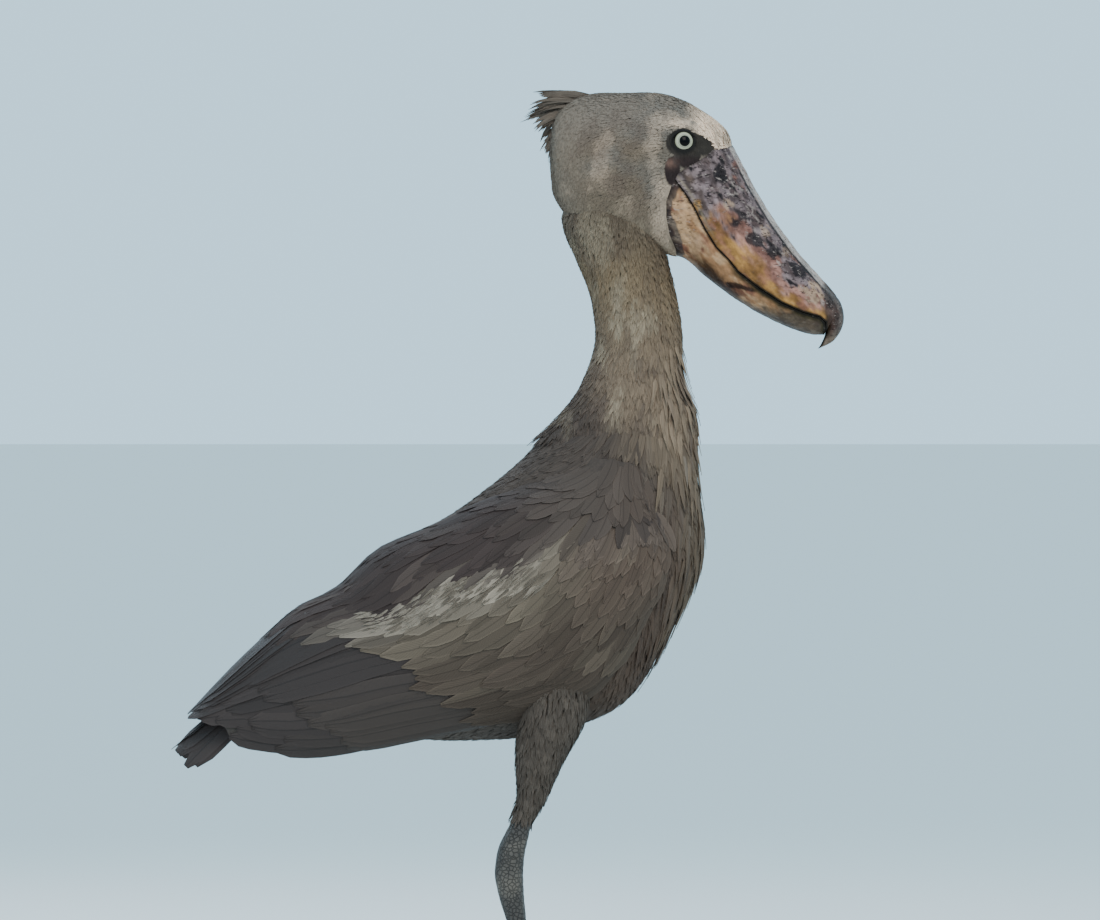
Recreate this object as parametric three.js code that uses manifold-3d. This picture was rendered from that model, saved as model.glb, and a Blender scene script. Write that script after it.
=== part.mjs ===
// A life-size shoebill, a tall African wading bird, as a still model standing on both feet.
// Millimetres. +X is where the bird faces, +Y its left side, +Z up. The floor is z = 0.

import * as THREE from 'three';
import { mergeVertices } from 'three/addons/utils/BufferGeometryUtils.js';
import Module from 'manifold-3d';

const wasm = await Module();
wasm.setup();

// Driving sizes
const GAP = 0.4; // air between two pieces that meet
const SEAM = 0.8; // width of the thin cuts that part the head and the bill
const FINE = 0.17; // facets that stray less than this from their neighbours are merged
const LEFT = 1;
const RIGHT = -1;

const EYE = { x: 199, y: 41, z: 1097, radius: 13, opening: 11, ahead: 0.22, up: 0.05 };
const LID = { over: 1.7, tube: 2.3, wide: 1.12, high: 0.96, sunk: 1.2 };
const NOSTRIL = { s: 8.9, off: 24, size: [8, 1.5, 4] }; // station, degrees off the ridge, half sizes
const LEG = { x: 26, apart: 64, hock: 262, ankle: 24 };
const TOES = [
  // name, degrees outwards from straight ahead, length, claw length
  ['middle', 3, 148, 26],
  ['inner', -26, 112, 22],
  ['outer', 35, 124, 22],
  ['hind', 188, 72, 24],
];
const TOE = { thick: 8.6, thin: 6.2, press: 0.8 }; // radii, and how far a toe is flattened on the floor

// Outlines of the bird seen from its side. A station is a slice through the body, from its back edge
// to its front edge: [back x, back z, front x, front z, half of its width, how square it is].
const TRUNK = [
  [59, 782, 214, 770, 50, 2.0],
  [18, 733, 219, 697, 72, 2.0],
  [-42, 684, 222, 617, 88, 2.1],
  [-90, 653, 188, 537, 98, 2.2],
  [-149, 625, 131, 451, 98, 2.2],
  [-195, 583, 40, 416, 87, 2.1],
  [-228, 540, -55, 408, 66, 2.0],
  [-250, 498, -140, 412, 44, 2.0],
];
// The folded wings lie on the trunk, and behind it they go on to the wing tips beside the tail.
const WING_BED = [
  ...TRUNK.slice(0, 6),
  [-243, 559, -66, 397, 80, 2.2],
  [-280, 527, -150, 378, 70, 2.4],
  [-315, 494, -228, 362, 60, 2.4],
  [-347, 461, -300, 362, 52, 2.3],
  [-370, 436, -350, 380, 44, 2.2],
];
const NECK = [
  [41, 765, 216, 745, 54, 2.0],
  [68, 793, 214, 782, 50, 2.0],
  [86, 825, 203, 818, 45, 2.0],
  [98, 859, 199, 855, 42, 2.0],
  [98, 894, 196, 890, 40, 2.0],
  [90, 928, 190, 926, 40, 2.0],
  [77, 963, 184, 958, 41, 2.0],
  [64, 999, 178, 990, 42, 2.0],
  [66, 1041, 169, 1023, 42, 2.0],
];
// The head runs on into the bill, and both are one body until the thin cuts part them.
const SKULL = [
  [50, 1098, 50, 1076, 14, 2.0],
  [56, 1128, 54, 1036, 35, 2.0],
  [76, 1144, 72, 1008, 47, 2.1],
  [110, 1149, 105, 992, 53, 2.2],
  [151, 1150, 141, 984, 55, 2.2],
  [191, 1145, 168, 974, 54, 2.2],
  [224, 1129, 186, 966, 53, 2.2],
  [248, 1108, 199, 962, 52, 2.2],
  [262, 1081, 210, 955, 51, 2.3],
  [279, 1047, 227, 939, 51, 2.4],
  [303, 1007, 259, 915, 51, 2.5],
  [329, 971, 291, 896, 49, 2.5],
  [353, 944, 321, 882, 44, 2.4],
  [370, 925, 346, 874, 34, 2.2],
  [380, 911, 362, 873, 22, 2.0],
];
const BILL_FROM = 7.4; // station of the skull where the ridge of the bill begins
// Along the top of the bill, out to some degrees: how far the ridge stands up and the groove lies in.
const RIDGE = [
  [4, 2.6],
  [12, 1.4],
  [23, -2.2],
];
const NAIL = [
  [368, 926, 349, 900, 26, 2.0],
  [380, 913, 358, 893, 22, 2.0],
  [385, 897, 364, 886, 16, 2.0],
  [382, 880, 363, 874, 10, 2.0],
  [373, 867, 359, 864, 5.5, 2.0],
  [360, 860, 355, 858, 1.6, 2.0],
];
// Seen from the side, from above down: where the feathers end and the bill begins, and the mouth.
const BILL_BASE = [
  [284, 1112], [262, 1094], [250, 1088], [233, 1085], [225, 1077], [213, 1070], [202, 1064], [193, 1057],
  [184, 1044], [178, 1026], [178, 1008], [182, 988], [189, 972], [193, 950], [195, 925],
];
const MOUTH = [
  [184, 1058], [201, 1036], [212, 1019], [224, 995], [237, 974], [252, 959], [262, 946], [286, 927],
  [312, 910], [337, 899], [356, 894], [363, 888], [364, 876], [358, 862], [348, 846],
];
const NECK_TOP = { x: 120, z: 974, lean: -14 };
const NECK_FOOT = { x: 136, z: 776, lean: -5 };

// Numbers drawn in a fixed order, from -1 to 1
function dice(seed) {
  let state = seed;
  return () => {
    state = (state * 16807) % 2147483647;
    return (state / 2147483647) * 2 - 1;
  };
}

// Shapes and solids
function solidOf(geometry) {
  const bare = geometry.clone();
  for (const name of Object.keys(bare.attributes)) {
    if (name !== 'position') bare.deleteAttribute(name);
  }
  const merged = mergeVertices(bare, 1e-3);
  const triVerts = new Uint32Array(merged.index.array);
  const vertProperties = merged.attributes.position.array;
  const made = new wasm.Manifold(new wasm.Mesh({ numProp: 3, vertProperties, triVerts }));
  if (made.volume() > 0) return made;
  for (let i = 0; i < triVerts.length; i += 3) {
    [triVerts[i + 1], triVerts[i + 2]] = [triVerts[i + 2], triVerts[i + 1]];
  }
  return new wasm.Manifold(new wasm.Mesh({ numProp: 3, vertProperties, triVerts }));
}

function geometryOf(solid) {
  const mesh = solid.getMesh();
  const positions = new Float32Array(mesh.numVert * 3);
  for (let i = 0; i < mesh.numVert; i += 1) {
    const from = i * mesh.numProp;
    positions.set(mesh.vertProperties.subarray(from, from + 3), i * 3);
  }
  const geometry = new THREE.BufferGeometry();
  geometry.setAttribute('position', new THREE.BufferAttribute(positions, 3));
  geometry.setIndex(new THREE.BufferAttribute(new Uint32Array(mesh.triVerts), 1));
  return geometry;
}

function largest(solid) {
  const pieces = solid.decompose();
  return pieces.reduce((best, piece) => (piece.volume() > best.volume() ? piece : best));
}

function join(solids) {
  return solids.reduce((whole, piece) => whole.add(piece));
}

// Rings of points, from one end to the other, closed by a fan at each end. In a thin plate the second
// half of a ring is the other face, and its quads are split the same way as those they lie over.
function skinOf(rings, plate = false) {
  const sides = rings[0].length;
  const positions = [];
  const index = [];
  rings.forEach((ring) => ring.forEach((p) => positions.push(p.x, p.y, p.z)));
  for (let r = 0; r < rings.length - 1; r += 1) {
    for (let i = 0; i < sides; i += 1) {
      const a = r * sides + i;
      const b = r * sides + ((i + 1) % sides);
      if (plate && i >= sides / 2) index.push(a, b, b + sides, a, b + sides, a + sides);
      else index.push(a, b, a + sides, b, b + sides, a + sides);
    }
  }
  [0, rings.length - 1].forEach((r) => {
    const middle = new THREE.Vector3();
    rings[r].forEach((p) => middle.addScaledVector(p, 1 / sides));
    const centre = positions.length / 3;
    positions.push(middle.x, middle.y, middle.z);
    for (let i = 0; i < sides; i += 1) {
      const a = r * sides + i;
      const b = r * sides + ((i + 1) % sides);
      if (r === 0) index.push(b, a, centre);
      else index.push(a, b, centre);
    }
  });
  const geometry = new THREE.BufferGeometry();
  geometry.setAttribute('position', new THREE.Float32BufferAttribute(positions, 3));
  geometry.setIndex(index);
  return geometry;
}

// A smooth line of numbers through the stations.
function between(rows, s) {
  const last = rows.length - 1;
  const at = Math.min(Math.max(s, 0), last);
  const i = Math.min(Math.floor(at), last - 1);
  const t = at - i;
  const row = (n) => rows[Math.min(Math.max(n, 0), last)];
  return rows[0].map((_, k) => {
    const [p, q, r, v] = [row(i - 1)[k], row(i)[k], row(i + 1)[k], row(i + 2)[k]];
    const bend = (2 * p - 5 * q + 4 * r - v) * t * t + (3 * q - p - 3 * r + v) * t * t * t;
    return q + 0.5 * ((r - p) * t + bend);
  });
}

// A body of soft slices. Degrees go round a slice: 0 left, 90 back, 180 right, 270 front.
class Body {
  constructor(stations, relief = () => 0) {
    this.stations = stations;
    this.relief = relief;
    this.end = stations.length - 1;
  }

  bare(s, degrees) {
    const [bx, bz, fx, fz, half, square] = between(this.stations, s);
    const c = Math.cos(THREE.MathUtils.degToRad(degrees));
    const d = Math.sin(THREE.MathUtils.degToRad(degrees));
    const across = Math.sign(c) * Math.abs(c) ** (2 / square);
    const up = Math.sign(d) * Math.abs(d) ** (2 / square);
    const depth = Math.hypot(bx - fx, bz - fz);
    const raised = up + (this.relief(s, degrees) * Math.sign(d)) / depth;
    return new THREE.Vector3(
      (bx + fx) / 2 + ((bx - fx) / 2) * raised,
      across * half,
      (bz + fz) / 2 + ((bz - fz) / 2) * raised,
    );
  }

  middle(s) {
    const [bx, bz, fx, fz] = between(this.stations, s);
    return new THREE.Vector3((bx + fx) / 2, 0, (bz + fz) / 2);
  }

  normal(s, degrees) {
    const inside = Math.min(Math.max(s, 0.02), this.end - 0.02);
    const along = this.bare(inside + 0.02, degrees).sub(this.bare(inside - 0.02, degrees));
    const round = this.bare(inside, degrees + 1).sub(this.bare(inside, degrees - 1));
    const n = along.cross(round).normalize();
    const out = this.bare(inside, degrees).sub(this.middle(inside));
    return n.dot(out) < 0 ? n.negate() : n;
  }

  at(s, degrees, lift = 0) {
    const p = this.bare(s, degrees);
    return lift === 0 ? p : p.addScaledVector(this.normal(s, degrees), lift);
  }

  // The station reached from s by going a length over the surface.
  after(s, degrees, length, turn = 0) {
    const step = 0.05;
    let gone = 0;
    let here = s;
    let from = this.bare(s, degrees);
    while (gone < length && here < this.end) {
      here += step;
      const to = this.bare(here, degrees + (turn * gone) / length);
      gone += to.distanceTo(from);
      from = to;
    }
    return Math.min(here, this.end);
  }

  // The closed solid between two stations, grown all round by some millimetres, with domed ends.
  solid({ rings, sides, from = 0, to = this.end, grow = 0, domes = [0, 0] }) {
    const ring = (s, scale, push) => {
      const centre = this.middle(s);
      return Array.from({ length: sides }, (_, i) => {
        const p = this.at(s, (i * 360) / sides, grow);
        return p.sub(centre).multiplyScalar(scale).add(centre).add(push);
      });
    };
    const dome = (s, next, height) => {
      const away = this.middle(s).sub(this.middle(next)).normalize();
      return [70, 40].map((d) => {
        const a = THREE.MathUtils.degToRad(d);
        return ring(s, Math.cos(a), away.clone().multiplyScalar(Math.sin(a) * (height + grow)));
      });
    };
    const made = [];
    if (domes[0]) made.push(...dome(from, from + 0.05, domes[0]));
    for (let r = 0; r <= rings; r += 1) {
      made.push(ring(from + ((to - from) * r) / rings, 1, new THREE.Vector3()));
    }
    if (domes[1]) made.push(...dome(to, to - 0.05, domes[1]).reverse());
    return solidOf(skinOf(made));
  }
}

// A round bar along a smooth line, with a radius at each of its points.
function limb(points, radii, sides, rings) {
  const line = new THREE.CatmullRomCurve3(points.map((p) => new THREE.Vector3(...p)));
  const rows = radii.map((r) => [r]);
  const made = Array.from({ length: rings + 1 }, (_, r) => {
    const t = r / rings;
    const centre = line.getPoint(t);
    const ahead = line.getTangent(t);
    const across = new THREE.Vector3(0, 1, 0).addScaledVector(ahead, -ahead.y).normalize();
    const up = ahead.clone().cross(across);
    const [radius] = between(rows, t * (radii.length - 1));
    return Array.from({ length: sides }, (_, i) => {
      const a = (i * 2 * Math.PI) / sides;
      const p = centre.clone().addScaledVector(across, radius * Math.cos(a));
      return p.addScaledVector(up, radius * Math.sin(a));
    });
  });
  return solidOf(skinOf(made));
}

// A thin upright sheet through a line seen from the side, for cutting from the left to the right.
function sheetAlong(line, thick, half) {
  const curve = new THREE.SplineCurve(line.map(([x, z]) => new THREE.Vector2(x, z)));
  const steps = line.length * 2;
  const edge = (sign) => Array.from({ length: steps + 1 }, (_, i) => {
    const t = i / steps;
    const p = curve.getPoint(t);
    const ahead = curve.getTangent(t);
    return new THREE.Vector2(p.x - (sign * ahead.y * thick) / 2, p.y + (sign * ahead.x * thick) / 2);
  });
  const shape = new THREE.Shape([...edge(1), ...edge(-1).reverse()]);
  const sheet = new THREE.ExtrudeGeometry(shape, { depth: 2 * half, bevelEnabled: false });
  sheet.rotateX(Math.PI / 2);
  sheet.translate(0, half, 0);
  return solidOf(sheet);
}

// A feather: a roof-shaped plate. path(t) gives its place and its outward direction from root 0 to tip 1.
const BLADE = [[0, 0.6], [0.45, 1], [0.84, 0.86], [1, 0.34]];
const COVERT = [[0, 0.8], [0.62, 1], [1, 0.46]];
const PLUME = [[0, 0.5], [0.35, 1], [0.75, 0.62], [1, 0.12]];

function feather(path, half, outline, { thick, roof }) {
  const rings = outline.map(([t, share]) => {
    const { p, n } = path(t);
    const ahead = path(Math.min(t + 0.03, 1)).p.sub(path(Math.max(t - 0.03, 0)).p).normalize();
    const across = n.clone().cross(ahead).normalize();
    const out = ahead.clone().cross(across).normalize();
    const side = (sign, level) => p.clone()
      .addScaledVector(across, sign * half * share)
      .addScaledVector(out, level - roof * share);
    if (roof === 0) return [side(-1, 0), side(1, 0), side(1, thick), side(-1, thick)];
    const ridge = (level) => p.clone().addScaledVector(out, level);
    return [side(-1, 0), ridge(0), side(1, 0), side(1, thick), ridge(thick), side(-1, thick)];
  });
  return solidOf(skinOf(rings, true));
}

// Cuts off what lies beyond a plane that leans some degrees from level, seen from the side.
function planeOf({ x, z, lean }) {
  const a = THREE.MathUtils.degToRad(lean);
  const normal = [-Math.sin(a), 0, Math.cos(a)];
  return { normal, offset: normal[0] * x + normal[2] * z };
}

function above(solid, place) {
  const { normal, offset } = planeOf(place);
  return solid.trimByPlane(normal, offset + GAP / 2);
}

function below(solid, place) {
  const { normal, offset } = planeOf(place);
  return solid.trimByPlane(normal.map((v) => -v), -offset + GAP / 2);
}

// The closed plate between an outer and an inner grid of points.
function plateOf(outer, inner) {
  const rows = outer.length;
  const cols = outer[0].length;
  const positions = [];
  const index = [];
  [...outer, ...inner].forEach((row) => row.forEach((p) => positions.push(p.x, p.y, p.z)));
  const at = (layer, r, c) => (layer * rows + r) * cols + c;
  for (let r = 0; r < rows - 1; r += 1) {
    for (let c = 0; c < cols - 1; c += 1) {
      [0, 1].forEach((layer) => {
        const quad = [at(layer, r, c), at(layer, r, c + 1), at(layer, r + 1, c), at(layer, r + 1, c + 1)];
        const [a, b, d, e] = quad;
        if (layer === 0) index.push(a, b, d, b, e, d);
        else index.push(b, a, d, e, b, d);
      });
    }
  }
  const rim = (a, b, c, d) => index.push(b, a, c, d, b, c);
  for (let c = 0; c < cols - 1; c += 1) {
    rim(at(0, 0, c), at(0, 0, c + 1), at(1, 0, c), at(1, 0, c + 1));
    rim(at(0, rows - 1, c + 1), at(0, rows - 1, c), at(1, rows - 1, c + 1), at(1, rows - 1, c));
  }
  for (let r = 0; r < rows - 1; r += 1) {
    rim(at(0, r + 1, 0), at(0, r, 0), at(1, r + 1, 0), at(1, r, 0));
    rim(at(0, r, cols - 1), at(0, r + 1, cols - 1), at(1, r, cols - 1), at(1, r + 1, cols - 1));
  }
  const geometry = new THREE.BufferGeometry();
  geometry.setAttribute('position', new THREE.Float32BufferAttribute(positions, 3));
  geometry.setIndex(index);
  return geometry;
}

// Trunk and neck
const trunk = new Body(TRUNK);
const neck = new Body(NECK);
const TRUNK_MESH = { rings: 12, sides: 24, domes: [0, 26] };
const trunkSolid = trunk.solid(TRUNK_MESH);
const trunkRoom = trunk.solid({ ...TRUNK_MESH, grow: GAP });
const neckSolid = neck.solid({ rings: 10, sides: 20, domes: [10, 12] });

// Head, bill and eyes
const bill = (s, degrees) => {
  const off = Math.abs(degrees - 90);
  const begun = THREE.MathUtils.smoothstep(s, BILL_FROM, BILL_FROM + 1.2);
  const found = RIDGE.find(([within]) => off < within);
  return found ? 2 * found[1] * begun : 0;
};
const skull = new Body(SKULL, bill);
const nail = new Body(NAIL);
const skullSolid = skull.solid({ rings: 20, sides: 30, domes: [8, 4] })
  .add(nail.solid({ rings: 8, sides: 16, domes: [4, 0] }));

function eyeDirection(side) {
  return new THREE.Vector3(EYE.ahead, side, EYE.up).normalize();
}

// The turn that brings a direction to where an eye looks.
function eyeTurn(side, from) {
  return new THREE.Quaternion().setFromUnitVectors(from, eyeDirection(side));
}

function eyeball(side, radius) {
  const ball = new THREE.SphereGeometry(radius, 14, 8);
  ball.applyQuaternion(eyeTurn(side, new THREE.Vector3(0, 1, 0)));
  ball.translate(EYE.x, side * EYE.y, EYE.z);
  return solidOf(ball);
}

function lids(side) {
  const out = Math.sqrt(EYE.radius ** 2 - EYE.opening ** 2);
  const ring = new THREE.TorusGeometry(EYE.opening + LID.over, LID.tube, 6, 16);
  ring.scale(LID.wide, LID.high, 1);
  ring.applyQuaternion(eyeTurn(side, new THREE.Vector3(0, 0, 1)));
  const place = new THREE.Vector3(EYE.x, side * EYE.y, EYE.z);
  place.addScaledVector(eyeDirection(side), out - LID.sunk);
  ring.translate(place.x, place.y, place.z);
  return solidOf(ring);
}

function nostril(side) {
  const { s, off, size } = NOSTRIL;
  const degrees = 90 - side * off;
  const slit = new THREE.SphereGeometry(1, 8, 6);
  slit.scale(...size);
  const ahead = skull.bare(s + 0.2, degrees).sub(skull.bare(s, degrees)).normalize();
  const out = skull.normal(s, degrees);
  const basis = new THREE.Matrix4().makeBasis(ahead, out.clone().cross(ahead).normalize(), out);
  basis.setPosition(skull.bare(s, degrees));
  slit.applyMatrix4(basis);
  return solidOf(slit);
}

const baseCut = sheetAlong(BILL_BASE, SEAM, 80);
const mouthCut = sheetAlong(MOUTH, SEAM, 80);
const billPieces = skullSolid.subtract(baseCut).subtract(mouthCut).decompose();
const most = (pieces, measure) => pieces.reduce((a, b) => (measure(b) > measure(a) ? b : a));
const upperBill = most(billPieces, (piece) => piece.boundingBox().max[0]);
const headPart = most(billPieces, (piece) => piece.boundingBox().max[2]);
const otherPieces = billPieces.filter((piece) => piece !== upperBill && piece !== headPart);
const lowerBill = most(otherPieces, (piece) => piece.volume());
const sides = [LEFT, RIGHT];
const upperBillSolid = largest(sides.reduce((whole, side) => whole.subtract(nostril(side)), upperBill));

// Crest: loose feathers that curve back and up from the nape. A row is the root's x and z and how
// far it lies from the middle, then the tip's x and z and its distance from the middle.
const CREST_SAG = 7;
const CREST = [
  [96, 1143, 6, 38, 1152, 7],
  [94, 1141, -7, 43, 1147, -10],
  [86, 1136, 0, 29, 1137, -1],
  [84, 1132, 10, 36, 1131, 14],
  [82, 1131, -11, 33, 1138, -15],
  [78, 1126, 4, 27, 1121, 5],
  [77, 1122, -6, 36, 1116, -8],
  [72, 1115, 8, 44, 1105, 12],
  [70, 1112, -9, 46, 1110, -12],
  [66, 1100, 1, 45, 1090, 1],
];

function crestFeather([rx, rz, ry, tx, tz, ty]) {
  const path = (t) => {
    const sag = -CREST_SAG * Math.sin(Math.PI * t);
    const p = new THREE.Vector3(rx + (tx - rx) * t, ry + (ty - ry) * t, rz + (tz - rz) * t + sag);
    return { p, n: new THREE.Vector3(-0.3, ry * 0.02, 1).normalize() };
  };
  return feather(path, 7, PLUME, { thick: 3, roof: 0.8 });
}

const billRoom = skull.solid({ rings: 14, sides: 30, domes: [8, 4], grow: GAP, from: 7 });
const headWhole = above(headPart.add(neckSolid.subtract(billRoom)), NECK_TOP);
const headWithCrest = join([headWhole, ...CREST.map(crestFeather)]);
const headWithLids = sides.reduce((whole, side) => whole.add(lids(side)), headWithCrest);
const eyeRoom = (side) => eyeball(side, EYE.radius + GAP);
const headSolid = largest(sides.reduce((whole, side) => whole.subtract(eyeRoom(side)), headWithLids));
const neckNode = largest(above(below(neckSolid, NECK_TOP), NECK_FOOT));

// Torso, with the loose plumes that hang from the front of the breast. A row of plumes has the height
// of its roots and how much of the spread it takes; swing is how far the tips stand out, and sunk how
// deep the roots lie.
const PLUMES = {
  rows: [
    [758, 0.5],
    [728, 0.8],
    [704, 1],
  ],
  count: 3,
  spread: 30,
  breast: 60,
  length: 94,
  half: 8,
  swing: 15,
  sunk: 5,
};

function plumePath(z, y, length) {
  // The front of the trunk is read at the plume's root height.
  const s = frontStation(z);
  const degrees = 270 + THREE.MathUtils.radToDeg(Math.asin(y / PLUMES.breast));
  const root = trunk.bare(s, degrees);
  const out = trunk.normal(s, degrees);
  return (t) => {
    const swing = PLUMES.swing * t ** 0.8 - PLUMES.sunk * (1 - t) ** 2;
    const p = new THREE.Vector3(root.x + 0.05 * length * t, root.y, root.z - length * t);
    return { p: p.addScaledVector(out, swing), n: out };
  };
}

// The trunk station whose front edge is at a height.
function frontStation(z) {
  let s = 0;
  while (s < 3 && between(TRUNK, s)[3] > z) s += 0.02;
  return s;
}

function plumes() {
  const draw = dice(71);
  return PLUMES.rows.flatMap(([z, reachOut]) => Array.from({ length: PLUMES.count }, (_, i) => {
    const y = PLUMES.spread * reachOut * ((2 * i) / (PLUMES.count - 1) - 1) + 3 * draw();
    const length = PLUMES.length * (1 + 0.12 * draw());
    return feather(plumePath(z + 8 * draw(), y, length), PLUMES.half, PLUME, { thick: 2.4, roof: 0 });
  }));
}

const torsoWhole = below(join([trunkSolid, neckSolid, ...plumes()]), NECK_FOOT);
const torsoSolid = largest(torsoWhole);

// Tail: a folded fan, low like a roof, whose outer feathers droop
const TAIL = { length: 258, slope: 40, half: 37, rootHalf: 20, droop: 38, x: -190, z: 563 };
const TAIL_CORE = { rows: 5, cols: 7, over: 4, under: 7, share: 0.72 };
const RECTRICES = { count: 10, half: 13, spread: 0.88, from: 0.3 };

function tailPlace(along, across, lift) {
  const a = THREE.MathUtils.degToRad(TAIL.slope);
  const share = across / TAIL.half;
  const height = lift - TAIL.droop * share ** 2;
  return new THREE.Vector3(
    TAIL.x - along * Math.cos(a) - height * Math.sin(a),
    across,
    TAIL.z - along * Math.sin(a) + height * Math.cos(a),
  );
}

function tailWidth(along) {
  return TAIL.rootHalf + ((TAIL.half - TAIL.rootHalf) * along) / TAIL.length;
}

function tailCore() {
  const { rows, cols, over, under, share } = TAIL_CORE;
  const grid = (thick) => Array.from({ length: rows }, (_, r) => {
    const along = (TAIL.length * share * r) / (rows - 1);
    const lift = thick * (1 - (0.6 * r) / (rows - 1));
    return Array.from({ length: cols }, (_, c) => {
      return tailPlace(along, 0.86 * tailWidth(along) * ((2 * c) / (cols - 1) - 1), lift);
    });
  });
  return solidOf(plateOf(grid(over), grid(-under)));
}

function rectrix(i, draw) {
  const place = (2 * i) / (RECTRICES.count - 1) - 1;
  // The middle pair lies on top, and each pair further out lies under it.
  const level = 1 - 4.2 * Math.abs(place);
  const end = TAIL.length * (1 - 0.07 * Math.abs(place) + 0.012 * draw());
  const start = TAIL.length * RECTRICES.from;
  const lean = 4 * draw();
  const path = (t) => {
    const along = start + (end - start) * t;
    const across = place * RECTRICES.spread * tailWidth(along) + lean * t;
    const p = tailPlace(along, across, level - 2 * (1 - t));
    const beside = tailPlace(along, across + 1, level - 2 * (1 - t)).sub(p);
    const ahead = tailPlace(along + 1, across, level - 2 * (1 - t)).sub(p);
    return { p, n: beside.cross(ahead).negate().normalize() };
  };
  return feather(path, RECTRICES.half, BLADE, { thick: 1.6, roof: 0.9 });
}

function tail() {
  const draw = dice(23);
  const vanes = Array.from({ length: RECTRICES.count }, (_, i) => rectrix(i, draw));
  return largest(join([tailCore(), ...vanes]).subtract(trunkRoom));
}

const tailSolid = tail();

// Wings
const wingBed = new Body(WING_BED);
// For each station from the shoulder back: where the folded wing begins and ends, in degrees down
// from the middle of the back, how thick it is there, and how deep its inner face lies in the bed.
const WING = [
  [66, 104, 5, -7],
  [66, 108, 7, -7],
  [26, 132, 24, -7],
  [14, 138, 25, -7],
  [9, 139, 21, -7],
  [7, 138, 16, -6],
  [6, 136, 12, -3],
  [6, 128, 9, -1],
  [8, 112, 6, -1],
  [10, 90, 4, -1],
  [10, 70, 4, -1],
];
const WING_CORE = { from: 0.9, to: 8.9, rows: 11, cols: 8 };
// Rows of feathers from the lowest layer up: name, station, first and last share, count, length, half
// of the width, height of root and tip above the core, outline, and how high the roof of the vane is.
// A share goes from 0 at the wing's upper border to 1 at its lower border.
const WING_ROWS = [
  ['primaries', 7.4, 0.15, 0.92, 5, 172, 16, -2.5, -1, 'BLADE', 1.1],
  ['secondaries', 5.1, 0.4, 0.98, 5, 196, 24, -2.5, 1.2, 'BLADE', 0],
  ['greater coverts', 3.9, 0.38, 0.97, 5, 128, 25, -3, 1.8, 'COVERT', 0],
  ['median coverts', 2.7, 0.34, 0.94, 4, 104, 29, -3, 2, 'COVERT', 0],
  ['lesser coverts', 1.5, 0.34, 0.84, 4, 88, 25, -3, 2, 'COVERT', 0],
  ['tertials', 4.9, 0.04, 0.36, 4, 250, 23, -3, 2.6, 'BLADE', 0],
  ['scapulars behind', 3.1, 0.06, 0.36, 3, 168, 27, -3, 4.6, 'COVERT', 0],
  ['scapulars in front', 1.7, 0.12, 0.42, 3, 128, 27, -3, 4.2, 'COVERT', 0],
];
const OUTLINES = { BLADE, COVERT };

function bedDegrees(side, down) {
  return side === LEFT ? 90 - down : 90 + down;
}

// How far the wing stands out of its bed: a rounded slab that thins to its borders.
function wingRise(s, down) {
  const [top, low, thick] = between(WING, s);
  const share = Math.min(Math.max((down - top) / (low - top), 0), 1);
  const swell = share < 0.5 ? 1.25 : 0.7;
  return thick * (0.2 + 0.8 * Math.sin(Math.PI * share) ** swell);
}

function wingCore(side) {
  const { from, to, rows, cols } = WING_CORE;
  const grid = (level) => Array.from({ length: rows }, (_, r) => {
    const s = from + ((to - from) * r) / (rows - 1);
    const [top, low] = between(WING, s);
    return Array.from({ length: cols }, (_, c) => {
      const down = top + ((low - top) * c) / (cols - 1);
      return wingBed.at(s, bedDegrees(side, down), level(s, down));
    });
  });
  return solidOf(plateOf(grid(wingRise), grid((s) => between(WING, s)[3])));
}

function wingPlace(side, s, share, lift) {
  const [top, low] = between(WING, s);
  const down = top + (low - top) * share;
  return wingBed.at(s, bedDegrees(side, down), wingRise(s, down) + lift);
}

// One feather from its root share; it runs back over the wing, and one edge lies under its neighbour.
function wingFeather(side, row, share, draw) {
  const [, station, , , , length, half, sunk, raised, outline, roof] = row;
  const rootS = station + 0.1 * draw();
  const [top, low] = between(WING, rootS);
  const degrees = bedDegrees(side, top + (low - top) * share);
  const endS = wingBed.after(rootS, degrees, length * (1 + 0.06 * draw()));
  const drift = 0.02 * draw();
  const path = (t) => {
    const s = rootS + (endS - rootS) * t;
    const here = share + drift * t;
    const lift = sunk + (raised - sunk) * Math.min(t / 0.6, 1);
    const p = wingPlace(side, s, here, lift);
    const higher = wingPlace(side, s, here - 0.03, lift);
    const behind = wingPlace(side, s - 0.05, here, lift);
    const ahead = wingPlace(side, Math.min(s + 0.05, wingBed.end), here, lift).sub(behind);
    const n = p.clone().sub(higher).cross(ahead).normalize().multiplyScalar(side);
    const upward = higher.sub(p).normalize();
    return { p, n: n.addScaledVector(upward, -0.07).normalize() };
  };
  return feather(path, half * (1 + 0.05 * draw()), OUTLINES[outline], { thick: 1.4, roof });
}

function wingFeathers(side) {
  const draw = dice(side === LEFT ? 411 : 523);
  return WING_ROWS.flatMap((row) => {
    const [, , first, last, count] = row;
    const share = (i) => first + ((last - first) * i) / (count - 1);
    return Array.from({ length: count }, (_, i) => wingFeather(side, row, share(i), draw));
  });
}

function wing(side) {
  const whole = join([wingCore(side), ...wingFeathers(side)]);
  const cut = whole.subtract(trunkRoom).subtract(thighPart(side, GAP));
  return largest(cut.trimByPlane([0, side, 0], GAP));
}

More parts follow.
